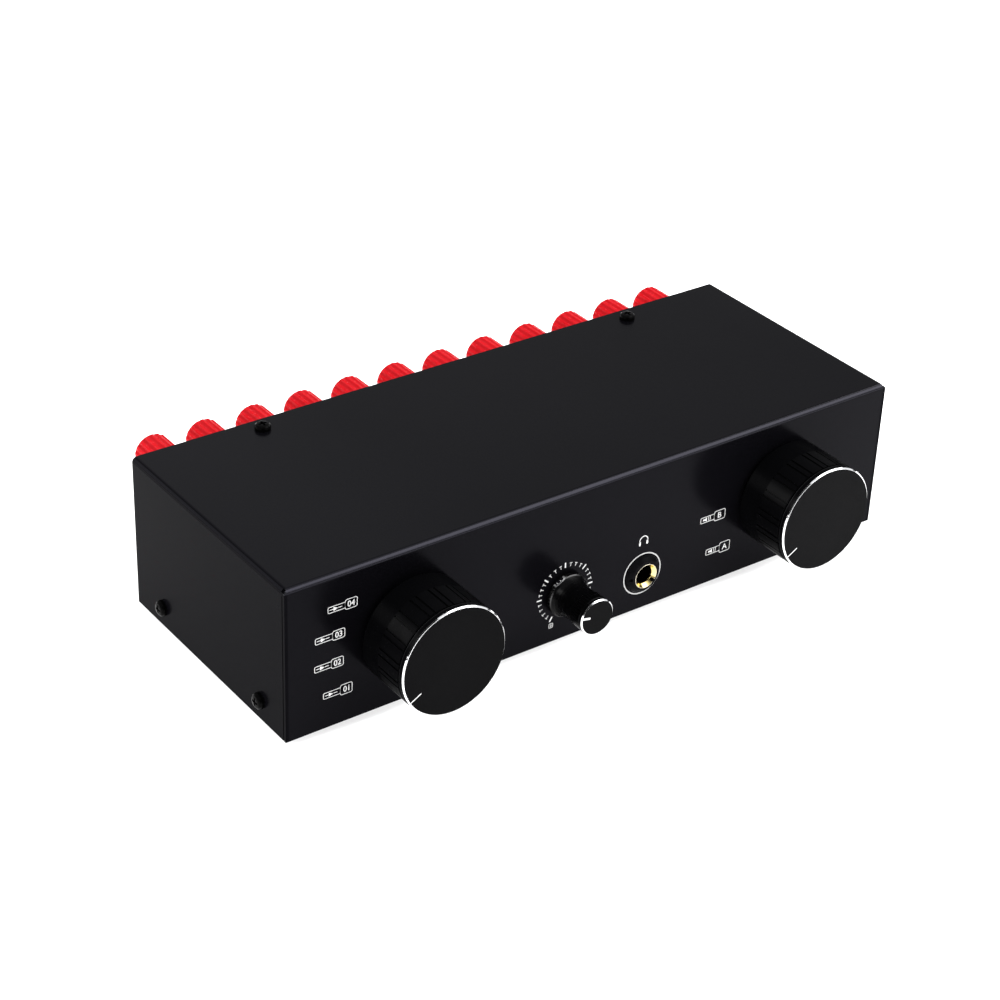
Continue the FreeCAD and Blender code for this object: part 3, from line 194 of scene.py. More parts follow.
def paint(name, folded):
    """Satin black powder coat: fine orange peel, faint cloudiness, a few dust specks.

    The coat is glossier where it is drawn thin over the folds, and duller on the sides."""
    m = Look(name)
    cloud = m.noise(9.0, 4.0, 0.6)
    grain = m.noise(1800.0, 2.0, 0.5)
    peel = m.noise(620.0, 2.0, 0.45)
    base = m.mix(m.remap(cloud, 0.3, 0.7), (0.0023, 0.0022, 0.0029), (0.0031, 0.0029, 0.0039))
    speck = m.remap(m.noise(430.0, 1.0, 0.5, offset=(3, 1, 7)), 0.80, 0.83)
    m.color(m.mix(m.math("MULTIPLY", speck, 0.35), base, (0.012, 0.012, 0.013)))
    x, y, z = [m.math("MULTIPLY", v, 1000.0) for v in m.axes()]
    side = m.math("GREATER_THAN", m.math("ABSOLUTE", x), 119.9)
    top = m.math("MULTIPLY", m.math("GREATER_THAN", z, 57.0), m.math("SUBTRACT", 1.0, side))
    across = m.math("ADD", m.remap(x, -112.0, -40.0, 0.34, 0.0, smooth=True), m.remap(x, -60.0, 110.0, 0.86, 0.49))
    toward = m.remap(x, 20.0, 118.0, 0.58, 0.68)
    gloss = m.blend(side, m.blend(top, toward, across), 0.160)
    if folded:
        def near_fold(a, a0, b, b0):
            da, db = m.math("SUBTRACT", a, a0), m.math("SUBTRACT", b, b0)
            return m.math("SQRT", m.math("ADD", m.math("MULTIPLY", da, da), m.math("MULTIPLY", db, db)))
        front_fold = m.remap(near_fold(y, -44.0, z, 58.0), 1.05, 1.55, 1.0, 0.0, smooth=True)
        gloss = m.blend(front_fold, gloss, 6.2)
        # a rubbed line along the crest of the side fold
        to_corner = near_fold(x, -121.0, z, 58.0)
        side_fold = m.remap(to_corner, 1.05, 1.55, 1.0, 0.0, smooth=True)
        crest = m.remap(to_corner, 0.85, 0.93, 2.6, 0.6, smooth=True)
        gloss = m.blend(m.math("MULTIPLY", side_fold, m.math("SUBTRACT", 1.0, front_fold)), gloss, crest)
    m.link(m.math("MULTIPLY", gloss, 0.046), m.shader.inputs["Specular IOR Level"])
    m.shader.inputs["Specular Tint"].default_value = (0.82, 0.80, 1.0, 1.0)
    wear = m.remap(m.noise(26.0, 5.0, 0.65, offset=(5, 5, 5)), 0.35, 0.7, 0.17, 0.23)
    m.rough(m.math("ADD", wear, m.remap(grain, 0.3, 0.7, -0.015, 0.02)))
    m.bump(peel, 0.10, 0.035)
    m.bump(grain, 0.10, 0.008)
    return m.mat


def black_oxide(name):
    m = Look(name).set(metal=0.0, spec=0.028)
    m.color(m.mix(m.remap(m.noise(600.0, 3.0, 0.6), 0.3, 0.7), (0.0010, 0.0010, 0.0011), (0.0022, 0.0021, 0.0021)))
    m.rough(m.remap(m.noise(900.0, 3.0, 0.6), 0.3, 0.7, 0.12, 0.26))
    m.bump(m.noise(2200.0, 2.0, 0.6), 0.15, 0.01)
    return m.mat


def knob_look(name, cx, cz, face, ring, chamfer, tone):
    """Black anodised knob; turned face with fine rings, a bright diamond-cut chamfer."""
    m = Look(name)
    r = m.radius(cx, cz)
    y = m.depth()
    on_face = m.math("LESS_THAN", y, face + 0.012)
    r_cut = m.math("GREATER_THAN", r, ring - chamfer - 0.01)
    y_cut = m.math("LESS_THAN", y, face + chamfer - 0.004)
    bright = m.math("MULTIPLY", m.math("MULTIPLY", r_cut, y_cut), m.math("SUBTRACT", 1.0, on_face, clamp=True))
    cloud = m.noise(60.0, 4.0, 0.6)
    body = m.mix(m.remap(cloud, 0.3, 0.7), (0.0015, 0.0015, 0.0018), (0.0021, 0.0021, 0.0025))
    # painted shade: tone scales the face's colour and its specular level; the amp knob's lower tone stands in for the
    # weaker light on its face
    face_tone = m.mix(m.remap(m.noise(34.0, 5.0, 0.65, offset=(1, 2, 3)), 0.3, 0.7),
                      tuple(v * tone for v in (0.0034, 0.0033, 0.0038)), tuple(v * tone for v in (0.0044, 0.0043, 0.0049)))
    # painted highlight: a thin grey line round the front ring's rear edge, standing in for light caught on that edge
    ring_edge_glint = m.math("MULTIPLY", m.math("GREATER_THAN", r, ring - 0.32),
                  m.remap(m.math("ABSOLUTE", m.math("SUBTRACT", y, face + 2.14)), 0.10, 0.20, 1.0, 0.0))
    dark = m.mix(m.math("MULTIPLY", ring_edge_glint, 0.8), m.mix(on_face, body, face_tone), (0.026, 0.026, 0.028))
    m.color(m.mix(bright, dark, (0.93, 0.93, 0.94)))
    m.link(bright, m.shader.inputs["Metallic"])
    # turning rings, a fraction of a millimetre apart
    ripple = m.math("SINE", m.math("MULTIPLY", r, 26.0))
    rings = m.math("MULTIPLY", m.math("MULTIPLY", ripple, 0.5), on_face)
    blast = m.noise(2400.0, 2.0, 0.5)
    body_rough = m.remap(m.noise(300.0, 4.0, 0.6), 0.3, 0.7, 0.34, 0.40)
    face_rough = m.remap(blast, 0.3, 0.7, 0.50, 0.62)
    # the cutter leaves a mirror, but for a burnished line along the inner edge
    inner_line = m.math("LESS_THAN", r, ring - chamfer + 0.10)
    mirror = m.remap(m.noise(500.0, 2.0, 0.5), 0.3, 0.7, 0.06, 0.10)
    bright_rough = m.blend(inner_line, mirror, 0.42)
    rough = m.blend(on_face, body_rough, face_rough)
    m.rough(m.blend(bright, rough, bright_rough))
    # the grip band is finished finer than the plain part behind it
    grip = m.remap(y, face + 13.0, face + 13.8, 0.013, 0.004, smooth=True)
    m.link(m.blend(on_face, grip, 0.040 * tone), m.shader.inputs["Specular IOR Level"])
    # fine turning marks round the body spread its reflections along the axis
    m.link(m.blend(m.math("MAXIMUM", on_face, bright), 0.92, 0.0), m.shader.inputs["Anisotropic"])
    along = m.node("ShaderNodeCombineXYZ")
    along.inputs["Y"].default_value = 1.0
    m.link(along.outputs[0], m.shader.inputs["Tangent"])
    m.bump(blast, 0.10, 0.010)
    m.bump(rings, 0.05, 0.01)
    return m.mat


def ink(name, tone=(0.86, 0.86, 0.85)):
    m = Look(name).set(spec=0.3)
    m.color(m.mix(m.remap(m.noise(900.0, 3.0, 0.6), 0.35, 0.65), tuple(v * 0.95 for v in tone), tone))
    m.rough(m.remap(m.noise(1500.0, 2.0, 0.5), 0.3, 0.7, 0.42, 0.55))
    m.bump(m.noise(3000.0, 2.0, 0.5), 0.2, 0.01)
    return m.mat


def gold(name, socket=False):
    m = Look(name).set(metal=1.0, coat=0.15, coat_rough=0.1)
    plate = m.mix(m.remap(m.noise(260.0, 4.0, 0.6), 0.3, 0.7), (0.93, 0.72, 0.24), (0.98, 0.82, 0.36))
    if socket:
        # worn rim, and painted shade: the bore inside it is coloured dark brown for the shade down the hole
        r = m.radius(JACK_X, JACK_Z)
        plate = m.mix(m.remap(r, 4.24, 4.32), plate, (0.46, 0.42, 0.34))
        plate = m.mix(m.remap(r, 3.26, 3.36), (0.055, 0.040, 0.022), plate)
    m.color(plate)
    m.rough(m.remap(m.noise(900.0, 4.0, 0.65, stretch=(1, 8, 1)), 0.3, 0.7, 0.14, 0.26))
    m.bump(m.noise(1600.0, 2.0, 0.5, stretch=(1, 6, 1)), 0.08, 0.01)
    return m.mat


def gloss_black(name, rough_low=0.10, rough_high=0.18, spec=0.30):
    m = Look(name).set(spec=spec)
    m.color(m.mix(m.remap(m.noise(300.0, 3.0, 0.6), 0.3, 0.7), (0.0030, 0.0030, 0.0035), (0.0060, 0.0060, 0.0068)))
    m.rough(m.remap(m.noise(500.0, 4.0, 0.6), 0.3, 0.7, rough_low, rough_high))
    m.bump(m.noise(700.0, 3.0, 0.5), 0.06, 0.02)
    return m.mat


def red_plastic(name):
    """Tinted, slightly translucent moulding; the valleys between the ribs are coloured a deeper red, a painted shade
    for the shade down in them.
    """
    m = Look(name).set(spec=0.045, sss=0.12)
    m.shader.inputs["Subsurface Radius"].default_value = (1.0, 0.06, 0.05)
    m.shader.inputs["Subsurface Scale"].default_value = 0.0008
    x, y, z = [m.math("MULTIPLY", v, 1000.0) for v in m.axes()]
    u = m.math("SUBTRACT", m.math("MODULO", m.math("ADD", x, POST_FIRST * -1.0 + POST_PITCH * 10.5), POST_PITCH), POST_PITCH / 2)
    w = m.math("SUBTRACT", z, POST_HIGH)
    r = m.math("SQRT", m.math("ADD", m.math("MULTIPLY", u, u), m.math("MULTIPLY", w, w)))
    # painted shade: the valleys between the ribs get a darker red
    valley_shade_mask = m.remap(r, 6.05, 6.55, 0.0, 1.0, smooth=True)
    tone = m.mix(m.remap(m.noise(110.0, 3.0, 0.6), 0.3, 0.7), (0.66, 0.008, 0.014), (0.76, 0.012, 0.020))
    m.color(m.mix(valley_shade_mask, m.mix(0.4, tone, (0.42, 0.005, 0.009)), tone))
    m.rough(m.remap(m.noise(420.0, 4.0, 0.6), 0.3, 0.7, 0.20, 0.32))
    m.bump(m.noise(900.0, 3.0, 0.5), 0.10, 0.02)
    return m.mat


def steel(name, tone=(0.60, 0.60, 0.58), rough=(0.24, 0.38), stretch=(1, 1, 1)):
    m = Look(name).set(metal=1.0)
    m.color(m.mix(m.remap(m.noise(180.0, 4.0, 0.6), 0.3, 0.7), tuple(v * 0.88 for v in tone), tone))
    m.rough(m.remap(m.noise(700.0, 4.0, 0.65, stretch=stretch), 0.3, 0.7, *rough))
    m.bump(m.noise(1400.0, 3.0, 0.6, stretch=stretch), 0.12, 0.015)
    return m.mat


def matte(name, low, high, rough=(0.5, 0.7), scale=220.0, spec=0.4):
    m = Look(name).set(spec=spec)
    m.color(m.mix(m.remap(m.noise(scale, 4.0, 0.6), 0.3, 0.7), low, high))
    m.rough(m.remap(m.noise(scale * 3, 3.0, 0.6), 0.3, 0.7, *rough))
    m.bump(m.noise(scale * 6, 3.0, 0.55), 0.2, 0.03)
    return m.mat


def phenolic(name):
    m = Look(name).set(spec=0.4)
    paper = m.noise(240.0, 5.0, 0.7, stretch=(1, 0.3, 1))
    m.color(m.mix(m.remap(paper, 0.25, 0.75), (0.16, 0.060, 0.020), (0.34, 0.150, 0.055)))
    m.rough(m.remap(m.noise(500.0, 3.0, 0.6), 0.3, 0.7, 0.35, 0.55))
    m.bump(paper, 0.15, 0.02)
    return m.mat


def board(name):
    """Green board; everything above the board's face is brown resistor body."""
    m = Look(name).set(spec=0.4)
    _, _, z = m.axes()
    above = m.math("GREATER_THAN", z, 0.01165)
    weave = m.cells(900.0)
    green = m.mix(m.remap(weave, 0.0, 0.8), (0.010, 0.085, 0.030), (0.016, 0.125, 0.045))
    brown = m.mix(m.remap(m.noise(150.0, 3.0, 0.6), 0.3, 0.7), (0.30, 0.20, 0.11), (0.42, 0.30, 0.18))
    m.color(m.mix(above, green, brown))
    m.rough(m.remap(m.noise(300.0, 3.0, 0.6), 0.3, 0.7, 0.3, 0.5))
    m.bump(weave, 0.1, 0.02)
    return m.mat


def small_knob_look(name):
    """Satin moulded knob with a pale chamfer round its face."""
    m = Look(name)
    r = m.radius(VOLUME_X, VOLUME_Z)
    y = m.depth()
    on_face = m.math("LESS_THAN", y, VOLUME_FACE + 0.010)
    r_cut = m.math("GREATER_THAN", r, VOLUME_RADIUS - VOLUME_CHAMFER - 0.01)
    y_cut = m.math("LESS_THAN", y, VOLUME_FACE + VOLUME_CHAMFER - 0.004)
    bright = m.math("MULTIPLY", m.math("MULTIPLY", r_cut, y_cut), m.math("SUBTRACT", 1.0, on_face, clamp=True))
    body = m.mix(m.remap(m.noise(170.0, 4.0, 0.6), 0.3, 0.7), (0.0011, 0.0011, 0.0013), (0.0019, 0.0019, 0.0022))
    face_tone = m.mix(m.remap(m.noise(120.0, 4.0, 0.6, offset=(4, 4, 4)), 0.3, 0.7),
                      (0.0016, 0.0016, 0.0018), (0.0022, 0.0022, 0.0025))
    # painted highlight: a pale metallic crescent on the skirt's rim at the upper left, standing in for a glint of light
    x, _, z = [m.math("MULTIPLY", v, 1000.0) for v in m.axes()]
    dx, dz = m.math("SUBTRACT", x, VOLUME_X), m.math("SUBTRACT", z, VOLUME_Z)
    along = m.math("ADD", m.math("MULTIPLY", dx, math.cos(math.radians(120))),
                   m.math("MULTIPLY", dz, math.sin(math.radians(120))))
    rim_glint_mask = m.math("MULTIPLY", m.remap(along, 7.40, 7.66, smooth=True), m.math("GREATER_THAN", r, 7.5))
    # the pale parts are the real diamond-cut chamfer and the painted rim highlight
    chamfer_and_glint = m.math("MAXIMUM", bright, rim_glint_mask)
    m.color(m.mix(chamfer_and_glint, m.mix(on_face, body, face_tone), (0.92, 0.92, 0.93)))
    m.link(chamfer_and_glint, m.shader.inputs["Metallic"])
    rough = m.blend(on_face, m.remap(m.noise(400.0, 3.0, 0.6), 0.3, 0.7, 0.20, 0.30),
                    m.remap(m.noise(1500.0, 2.0, 0.6), 0.3, 0.7, 0.48, 0.6))
    m.rough(m.blend(chamfer_and_glint, rough, 0.15))
    # the skirt's rim is polished by handling
    upper = m.remap(dz, -3.5, 1.5, 0.06, 0.60, smooth=True)
    rim = m.blend(m.remap(r, 7.40, 7.60, smooth=True), 0.07, upper)
    m.link(m.blend(on_face, rim, 0.028), m.shader.inputs["Specular IOR Level"])
    m.bump(m.noise(1600.0, 2.0, 0.5), 0.12, 0.012)
    return m.mat


LOOKS = {
    "cover": paint("cover_paint", True),
    "base": paint("base_paint", False),
    "screw": black_oxide("screw_black_oxide"),
    # the two knobs are alike; the amp knob's lower face tone is painted shade
    "amp_knob": knob_look("amp_knob_anodised", -KNOB_X, KNOB_Z, AMP_FACE, KNOB_RADIUS, CHAMFER, 0.52),
    "speaker_knob": knob_look("speaker_knob_anodised", KNOB_X, KNOB_Z, SPEAKER_FACE, KNOB_RADIUS, CHAMFER, 0.70),
    "small_knob": small_knob_look("volume_knob_satin"),
    "ink": ink("panel_ink"),
    "line": ink("pointer_fill", (0.92, 0.92, 0.91)),
    "ring_ink": ink("socket_ring_ink", (0.60, 0.60, 0.59)),
    "gold": gold("gold_plate"),
    "socket_gold": gold("socket_gold_plate", True),
    "nut": gloss_black("ring_nut_gloss", 0.20, 0.30, 0.012),
    "red": red_plastic("red_tinted_plastic"),
    "black_cap": gloss_black("black_cap_plastic", 0.16, 0.28),
    "rubber": matte("moulded_rubber", (0.008, 0.008, 0.008), (0.016, 0.016, 0.016), (0.6, 0.8), 300.0, 0.3),
    "plate": steel("zinc_plate"),
    "casting": steel("die_cast_zinc", (0.42, 0.42, 0.43), (0.42, 0.6)),
    "phenolic": phenolic("phenolic_board"),
    "silver": steel("silver_plate", (0.78, 0.77, 0.73), (0.18, 0.32)),
    "brass": steel("turned_brass", (0.72, 0.53, 0.24), (0.2, 0.34), (1, 6, 1)),
    "dark_plastic": gloss_black("moulded_housing", 0.3, 0.45),
    "board": board("resistor_board"),
    "wire": matte("wire_sleeve", (0.012, 0.012, 0.013), (0.030, 0.030, 0.032), (0.4, 0.6), 120.0, 0.45),
}

WEARS = {
    "top_cover": "cover", "chassis_base": "base", "top_cover_screws": "screw", "side_cover_screws": "screw",
    "rubber_feet": "rubber", "panel_nuts": "plate", "panel_washers": "plate", "switch_tie_rods": "plate",
    "amp_switch_frame": "casting", "speaker_switch_frame": "casting", "amp_switch_wafers": "phenolic",
    "speaker_switch_wafers": "phenolic", "amp_switch_contacts": "silver", "speaker_switch_contacts": "silver",
    "amp_switch_rotor": "brass", "speaker_switch_rotor": "brass", "amp_select_knob": "amp_knob",
    "speaker_select_knob": "speaker_knob", "amp_knob_set_screw": "screw", "speaker_knob_set_screw": "screw",
    "volume_knob": "small_knob", "volume_shaft": "brass", "volume_pot_housing": "casting",
    "volume_pot_terminals": "silver", "headphone_jack_housing": "dark_plastic", "headphone_jack_sleeve": "socket_gold",
    "headphone_jack_nut": "nut", "headphone_jack_contacts": "silver", "red_post_collars": "red",
    "black_post_collars": "black_cap", "post_studs": "gold", "post_inner_insulators": "dark_plastic",
    "post_hex_nuts": "plate", "post_ring_lugs": "silver", "headphone_pad_board": "board", "wiring_loom": "wire",
}
for i in range(1, 13):
    WEARS["red_post_cap_%02d" % i] = "red"
    WEARS["black_post_cap_%02d" % i] = "black_cap"

for name, obj in NODES.items():
    obj.data.materials.clear()
    obj.data.materials.append(LOOKS[WEARS[name]])

# ------------------------------------------------------- prints and line fills


class Print:
    """Thin flat shapes on a face across Y, gathered into one mesh.

    Points are (u, v) in mm: u is X and v is Z for the front; for the rear, u runs the other way so that
    lettering reads correctly from behind."""

    def __init__(self, face, rear=False, rise=0.03, sink=0.02):
        self.mesh = bmesh.new()
        self.face, self.rear, self.rise, self.sink = face, rear, rise, sink

    def at(self, u, v, out):
        if self.rear:
            return Vector((-u * MM, (self.face + out) * MM, v * MM))
        return Vector((u * MM, (self.face - out) * MM, v * MM))

    def prism(self, points):
        top = [self.mesh.verts.new(self.at(u, v, self.rise)) for u, v in points]
        low = [self.mesh.verts.new(self.at(u, v, -self.sink)) for u, v in points]
        n = len(points)
        self.mesh.faces.new(top)
        self.mesh.faces.new(low[::-1])
        for i in range(n):
            self.mesh.faces.new((top[i], low[i], low[(i + 1) % n], top[(i + 1) % n]))

    def band(self, inner, outer):
        """Closed band between two loops with the same number of points."""
        n = len(inner)
        loops = []
        for loop in (outer, inner):
            loops.append([self.mesh.verts.new(self.at(u, v, self.rise)) for u, v in loop])
            loops.append([self.mesh.verts.new(self.at(u, v, -self.sink)) for u, v in loop])
        ot, ob, it, ib = loops
        for i in range(n):
            j = (i + 1) % n
            self.mesh.faces.new((ot[i], ot[j], it[j], it[i]))
            self.mesh.faces.new((ob[j], ob[i], ib[i], ib[j]))
            self.mesh.faces.new((ot[i], ob[i], ob[j], ot[j]))
            self.mesh.faces.new((it[j], ib[j], ib[i], it[i]))

    def box(self, u0, u1, v0, v1):
        self.prism([(u0, v0), (u1, v0), (u1, v1), (u0, v1)])

    def stroke(self, a, b, width):
        """A straight line with round ends."""
        du, dv = b[0] - a[0], b[1] - a[1]
        turn = math.atan2(dv, du)
        points = []
        for centre, start in ((b, -90), (a, 90)):
            for k in range(9):
                t = turn + math.radians(start + 22.5 * k)
                points.append((centre[0] + width / 2 * math.cos(t), centre[1] + width / 2 * math.sin(t)))
        self.prism(points)

    def ring(self, cu, cv, r, width, parts=96):
        def loop(radius):
            return [(cu + radius * math.cos(2 * math.pi * k / parts),
                     cv + radius * math.sin(2 * math.pi * k / parts)) for k in range(parts)]
        self.band(loop(r - width / 2), loop(r + width / 2))

    def arc(self, cu, cv, r, width, start, end, parts=40):
        a = [math.radians(start + (end - start) * k / parts) for k in range(parts + 1)]
        for k in range(parts):
            self.prism([(cu + (r - width / 2) * math.cos(a[k]), cv + (r - width / 2) * math.sin(a[k])),
                        (cu + (r + width / 2) * math.cos(a[k]), cv + (r + width / 2) * math.sin(a[k])),
                        (cu + (r + width / 2) * math.cos(a[k + 1]), cv + (r + width / 2) * math.sin(a[k + 1])),
                        (cu + (r - width / 2) * math.cos(a[k + 1]), cv + (r - width / 2) * math.sin(a[k + 1]))])

    def dot(self, cu, cv, r, parts=24):
        self.prism([(cu + r * math.cos(2 * math.pi * k / parts), cv + r * math.sin(2 * math.pi * k / parts))
                    for k in range(parts)])

    def frame(self, u0, u1, v0, v1, corner, width):
        """Outline of a box with rounded corners."""
        def loop(inset):
            points = []
            r = max(corner - inset, 0.05)
            for cu, cv, start in ((u1 - corner, v1 - corner, 0), (u0 + corner, v1 - corner, 90),
                                  (u0 + corner, v0 + corner, 180), (u1 - corner, v0 + corner, 270)):
                for k in range(7):
                    t = math.radians(start + 15 * k)
                    points.append((cu + r * math.cos(t), cv + r * math.sin(t)))
            return points
        self.band(loop(width), loop(0.0))

    def text(self, words, cu, cv, height, stretch=1.0, bold=0.0):
        """Lettering centred on (cu, cv), capital height in mm."""
        curve = bpy.data.curves.new("lettering", "FONT")
        curve.body = words
        curve.size = 1.0
        curve.align_x = "CENTER"
        curve.offset = bold
        curve.resolution_u = 4
        holder = bpy.data.objects.new("lettering", curve)
        bpy.context.scene.collection.objects.link(holder)
        bpy.context.view_layer.update()
        mesh = holder.to_mesh()
        us = [v.co.x for v in mesh.vertices]
        vs = [v.co.y for v in mesh.vertices]
        mid_u, mid_v = (min(us) + max(us)) / 2, (min(vs) + max(vs)) / 2
        scale = height / (max(vs) - min(vs))
        flat = bmesh.new()
        flat.from_mesh(mesh)
        bmesh.ops.remove_doubles(flat, verts=flat.verts, dist=1e-5)
        for v in flat.verts:
            u = cu + (v.co.x - mid_u) * scale * stretch
            w = cv + (v.co.y - mid_v) * scale
            v.co = self.at(u, w, self.rise)
        away = Vector((0, 1, 0)) if self.rear else Vector((0, -1, 0))
        deeper = bmesh.ops.extrude_face_region(flat, geom=flat.faces[:])
        for v in deeper["geom"]:
            if isinstance(v, bmesh.types.BMVert):
                v.co -= away * (self.rise + self.sink) * MM
        joined = bpy.data.meshes.new("lettering")
        flat.to_mesh(joined)
        flat.free()
        self.mesh.from_mesh(joined)
        bpy.data.meshes.remove(joined)
        holder.to_mesh_clear()
        bpy.data.objects.remove(holder)
        bpy.data.curves.remove(curve)

    def done(self, name, look, body):
        bmesh.ops.recalc_face_normals(self.mesh, faces=self.mesh.faces)
        data = bpy.data.meshes.new(name)
        self.mesh.to_mesh(data)
        self.mesh.free()
        obj = bpy.data.objects.new(name, data)
        bpy.context.scene.collection.objects.link(obj)
        data.materials.append(look)
        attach(obj, body)
        return obj


def case(x, z):
    """Panel point measured from the case's lower left corner, in mm."""
    return x - 121.0, z + 3.0


front = Print(FRONT)


def position_mark(x0, xs, x1, z0, z1, words, kind):
    """A numbered box with a smaller box at its left that holds a plain symbol."""
    u0, v0 = case(xs, z0)
    u1, v1 = case(x1, z1)
    front.frame(u0, u1, v0, v1, 0.75, 0.22)
    front.text(words, (u0 + u1) / 2 + 0.02, (v0 + v1) / 2, 2.15, 0.92 if len(words) > 1 else 1.0, 0.012)
    mid = (v0 + v1) / 2
    a0 = x0 - 121.0
    front.frame(a0, u0 + 0.22, mid - 1.15, mid + 1.15, 0.5, 0.2)
    left = a0 + 0.95
    if kind == "amp":
        # triangle between two leads
        front.stroke((left - 0.2, mid), (left + 1.0, mid), 0.22)
        front.prism([(left + 1.1, mid - 0.72), (left + 2.7, mid), (left + 1.1, mid + 0.72)])
        front.stroke((left + 2.9, mid), (left + 4.1, mid), 0.22)
    else:
        # cone and two arcs
        front.box(left + 0.2, left + 0.9, mid - 0.35, mid + 0.35)
        front.prism([(left + 1.0, mid - 0.35), (left + 1.8, mid - 0.78), (left + 1.8, mid + 0.78), (left + 1.0, mid + 0.35)])
        front.arc(left + 1.5, mid, 1.15, 0.2, -38, 38, 8)
        front.arc(left + 1.5, mid, 1.85, 0.2, -30, 30, 8)


position_mark(15.1, 21.2, 25.7, 41.0, 44.7, "04", "amp")
position_mark(10.6, 16.7, 21.3, 31.4, 34.9, "03", "amp")
position_mark(10.3, 16.3, 20.8, 21.2, 24.8, "02", "amp")
position_mark(13.4, 19.5, 24.0, 10.1, 14.0, "01", "amp")
position_mark(161.8, 167.7, 172.6, 23.9, 27.8, "B", "speaker")
position_mark(165.4, 171.3, 176.0, 10.2, 14.3, "A", "speaker")

# volume scale: seven bold marks with short capped ones between them
SCALE_X, SCALE_Z = -15.5, 20.8
for angle in (239.5, 179.5, 139.0, 92.0, 43.5, -0.5, -60.0):
    a = math.radians(angle)
    front.stroke((SCALE_X + 9.5 * math.cos(a), SCALE_Z + 9.5 * math.sin(a)),
                 (SCALE_X + 11.05 * math.cos(a), SCALE_Z + 11.05 * math.sin(a)), 0.50)
for angle in (228.0, 215.5, 202.5, 190.5, 169.0, 158.0, 147.5, 127.5, 115.0, 102.5, 79.5, 67.5, 54.5,
              32.0, 21.0, 10.0, -12.0, -24.0, -36.0, -48.0):
    a = math.radians(angle)
    front.stroke((SCALE_X + 9.5 * math.cos(a), SCALE_Z + 9.5 * math.sin(a)),
                 (SCALE_X + 10.5 * math.cos(a), SCALE_Z + 10.5 * math.sin(a)), 0.21)
    front.arc(SCALE_X, SCALE_Z, 10.65, 0.21, angle - 2.6, angle + 2.6, 4)
zero_u, zero_v = case(100.46, 6.42)
front.frame(zero_u - 0.86, zero_u + 0.86, zero_v - 0.9, zero_v + 0.9, 0.4, 0.18)
front.text("0", zero_u, zero_v, 1.05, 0.95, 0.012)

# ring round the headphone socket, and a plain headphone sign above it
hu, hv = case(137.5, 26.6)
front.arc(hu, hv, 1.7, 0.32, 0, 180, 24)
for side in (-1, 1):
    front.stroke((hu + side * 1.7, hv), (hu + side * 1.7, hv - 0.5), 0.32)
    front.stroke((hu + side * 1.55, hv - 0.5), (hu + side * 1.55, hv - 1.35), 0.75)

front.done("front_print", LOOKS["ink"], "case")

socket_ring = Print(FRONT)
socket_ring.ring(JACK_X, JACK_Z, 7.65, 0.44)
socket_ring.done("socket_ring_print", LOOKS["ring_ink"], "case")

# rear: numbers over the red row, signs beside both rows
rear = Print(REAR, rear=True)
groups = ["01", "02", "03", "04", "A", "B"]
for g, words in enumerate(groups):
    x_left = POST_FIRST + POST_PITCH * (2 * g)
    x_mid = x_left + POST_PITCH / 2
    u_mid = -x_mid
    rear.frame(u_mid - 2.6, u_mid + 2.6, 28.4, 32.6, 0.8, 0.24)
    rear.text(words, u_mid, 30.5, 2.3, 0.95, 0.012)
    for side, sign in ((-1, "R"), (1, "L")):
        u = u_mid - side * POST_PITCH / 2
        rear.text(sign, u, 30.5, 2.0, 1.0, 0.01)
    rear.stroke((u_mid - 16.0, 36.6), (u_mid - 16.0, 24.4), 0.25)
rear.stroke((105.0 + 8.9, 36.6), (105.0 + 8.9, 24.4), 0.25)
for v, sign in ((POST_HIGH, "+"), (POST_LOW, "-")):
    for g in range(6):
        u = -(POST_FIRST + POST_PITCH * (2 * g) + POST_PITCH / 2)
        rear.stroke((u - 0.8, v), (u + 0.8, v), 0.35)
        if sign == "+":
            rear.stroke((u, v - 0.8), (u, v + 0.8), 0.35)
rear.done("rear_print", LOOKS["ink"], "case")


def pointer(name, body, cx, cz, face, angle, r0, r1, width, depth):
    """White line filling the pointer groove of a knob, flush but for a hair."""
    line = Print(face, rise=-0.03, sink=depth - 0.002)
    a = math.radians(angle)
    c, s = math.cos(a), math.sin(a)

    def at(r, w):
        return cx + r * c - w * s, cz + r * s + w * c
    half = width / 2 - 0.004
    line.prism([at(r0 + 0.01, -half), at(r1 - 0.01, -half), at(r1 - 0.01, half), at(r0 + 0.01, half)])
    return line.done(name, LOOKS["line"], body)


pointer("amp_pointer_line", "amp_selector", -KNOB_X, KNOB_Z, AMP_FACE, AMP_POINTER, 14.0, 18.46, 0.42, 0.15)
pointer("speaker_pointer_line", "speaker_selector", KNOB_X, KNOB_Z, SPEAKER_FACE, SPEAKER_POINTER, 14.0, 18.46, 0.42, 0.15)
pointer("volume_pointer_line", "volume_control", VOLUME_X, VOLUME_Z, VOLUME_FACE, VOLUME_POINTER, 2.9, 5.99, 0.72, 0.15)

# ------------------------------------------------------------- floor and light

floor_mesh = bpy.data.meshes.new("studio_floor")
S = 6.0
floor_mesh.from_pydata([(-S, -S, 0), (S, -S, 0), (S, S, 0), (-S, S, 0)], [], [(0, 1, 2, 3)])
floor = bpy.data.objects.new("studio_floor", floor_mesh)
floor.location.z = -0.0002
bpy.context.scene.collection.objects.link(floor)
m = Look("pale_floor").set(spec=0.1)
m.color(m.mix(m.noise(3.0, 3.0, 0.5), (0.86, 0.86, 0.86), (0.88, 0.88, 0.88)))
m.rough(m.remap(m.noise(20.0, 3.0, 0.5), 0.3, 0.7, 0.85, 0.95))
floor_mesh.materials.append(m.mat)

world = bpy.data.worlds.new("studio")
bpy.context.scene.world = world
world.use_nodes = True
world.node_tree.nodes["Background"].inputs["Color"].default_value = (0.97, 0.98, 1.0, 1.0)
world.node_tree.nodes["Background"].inputs["Strength"].default_value = 0.9


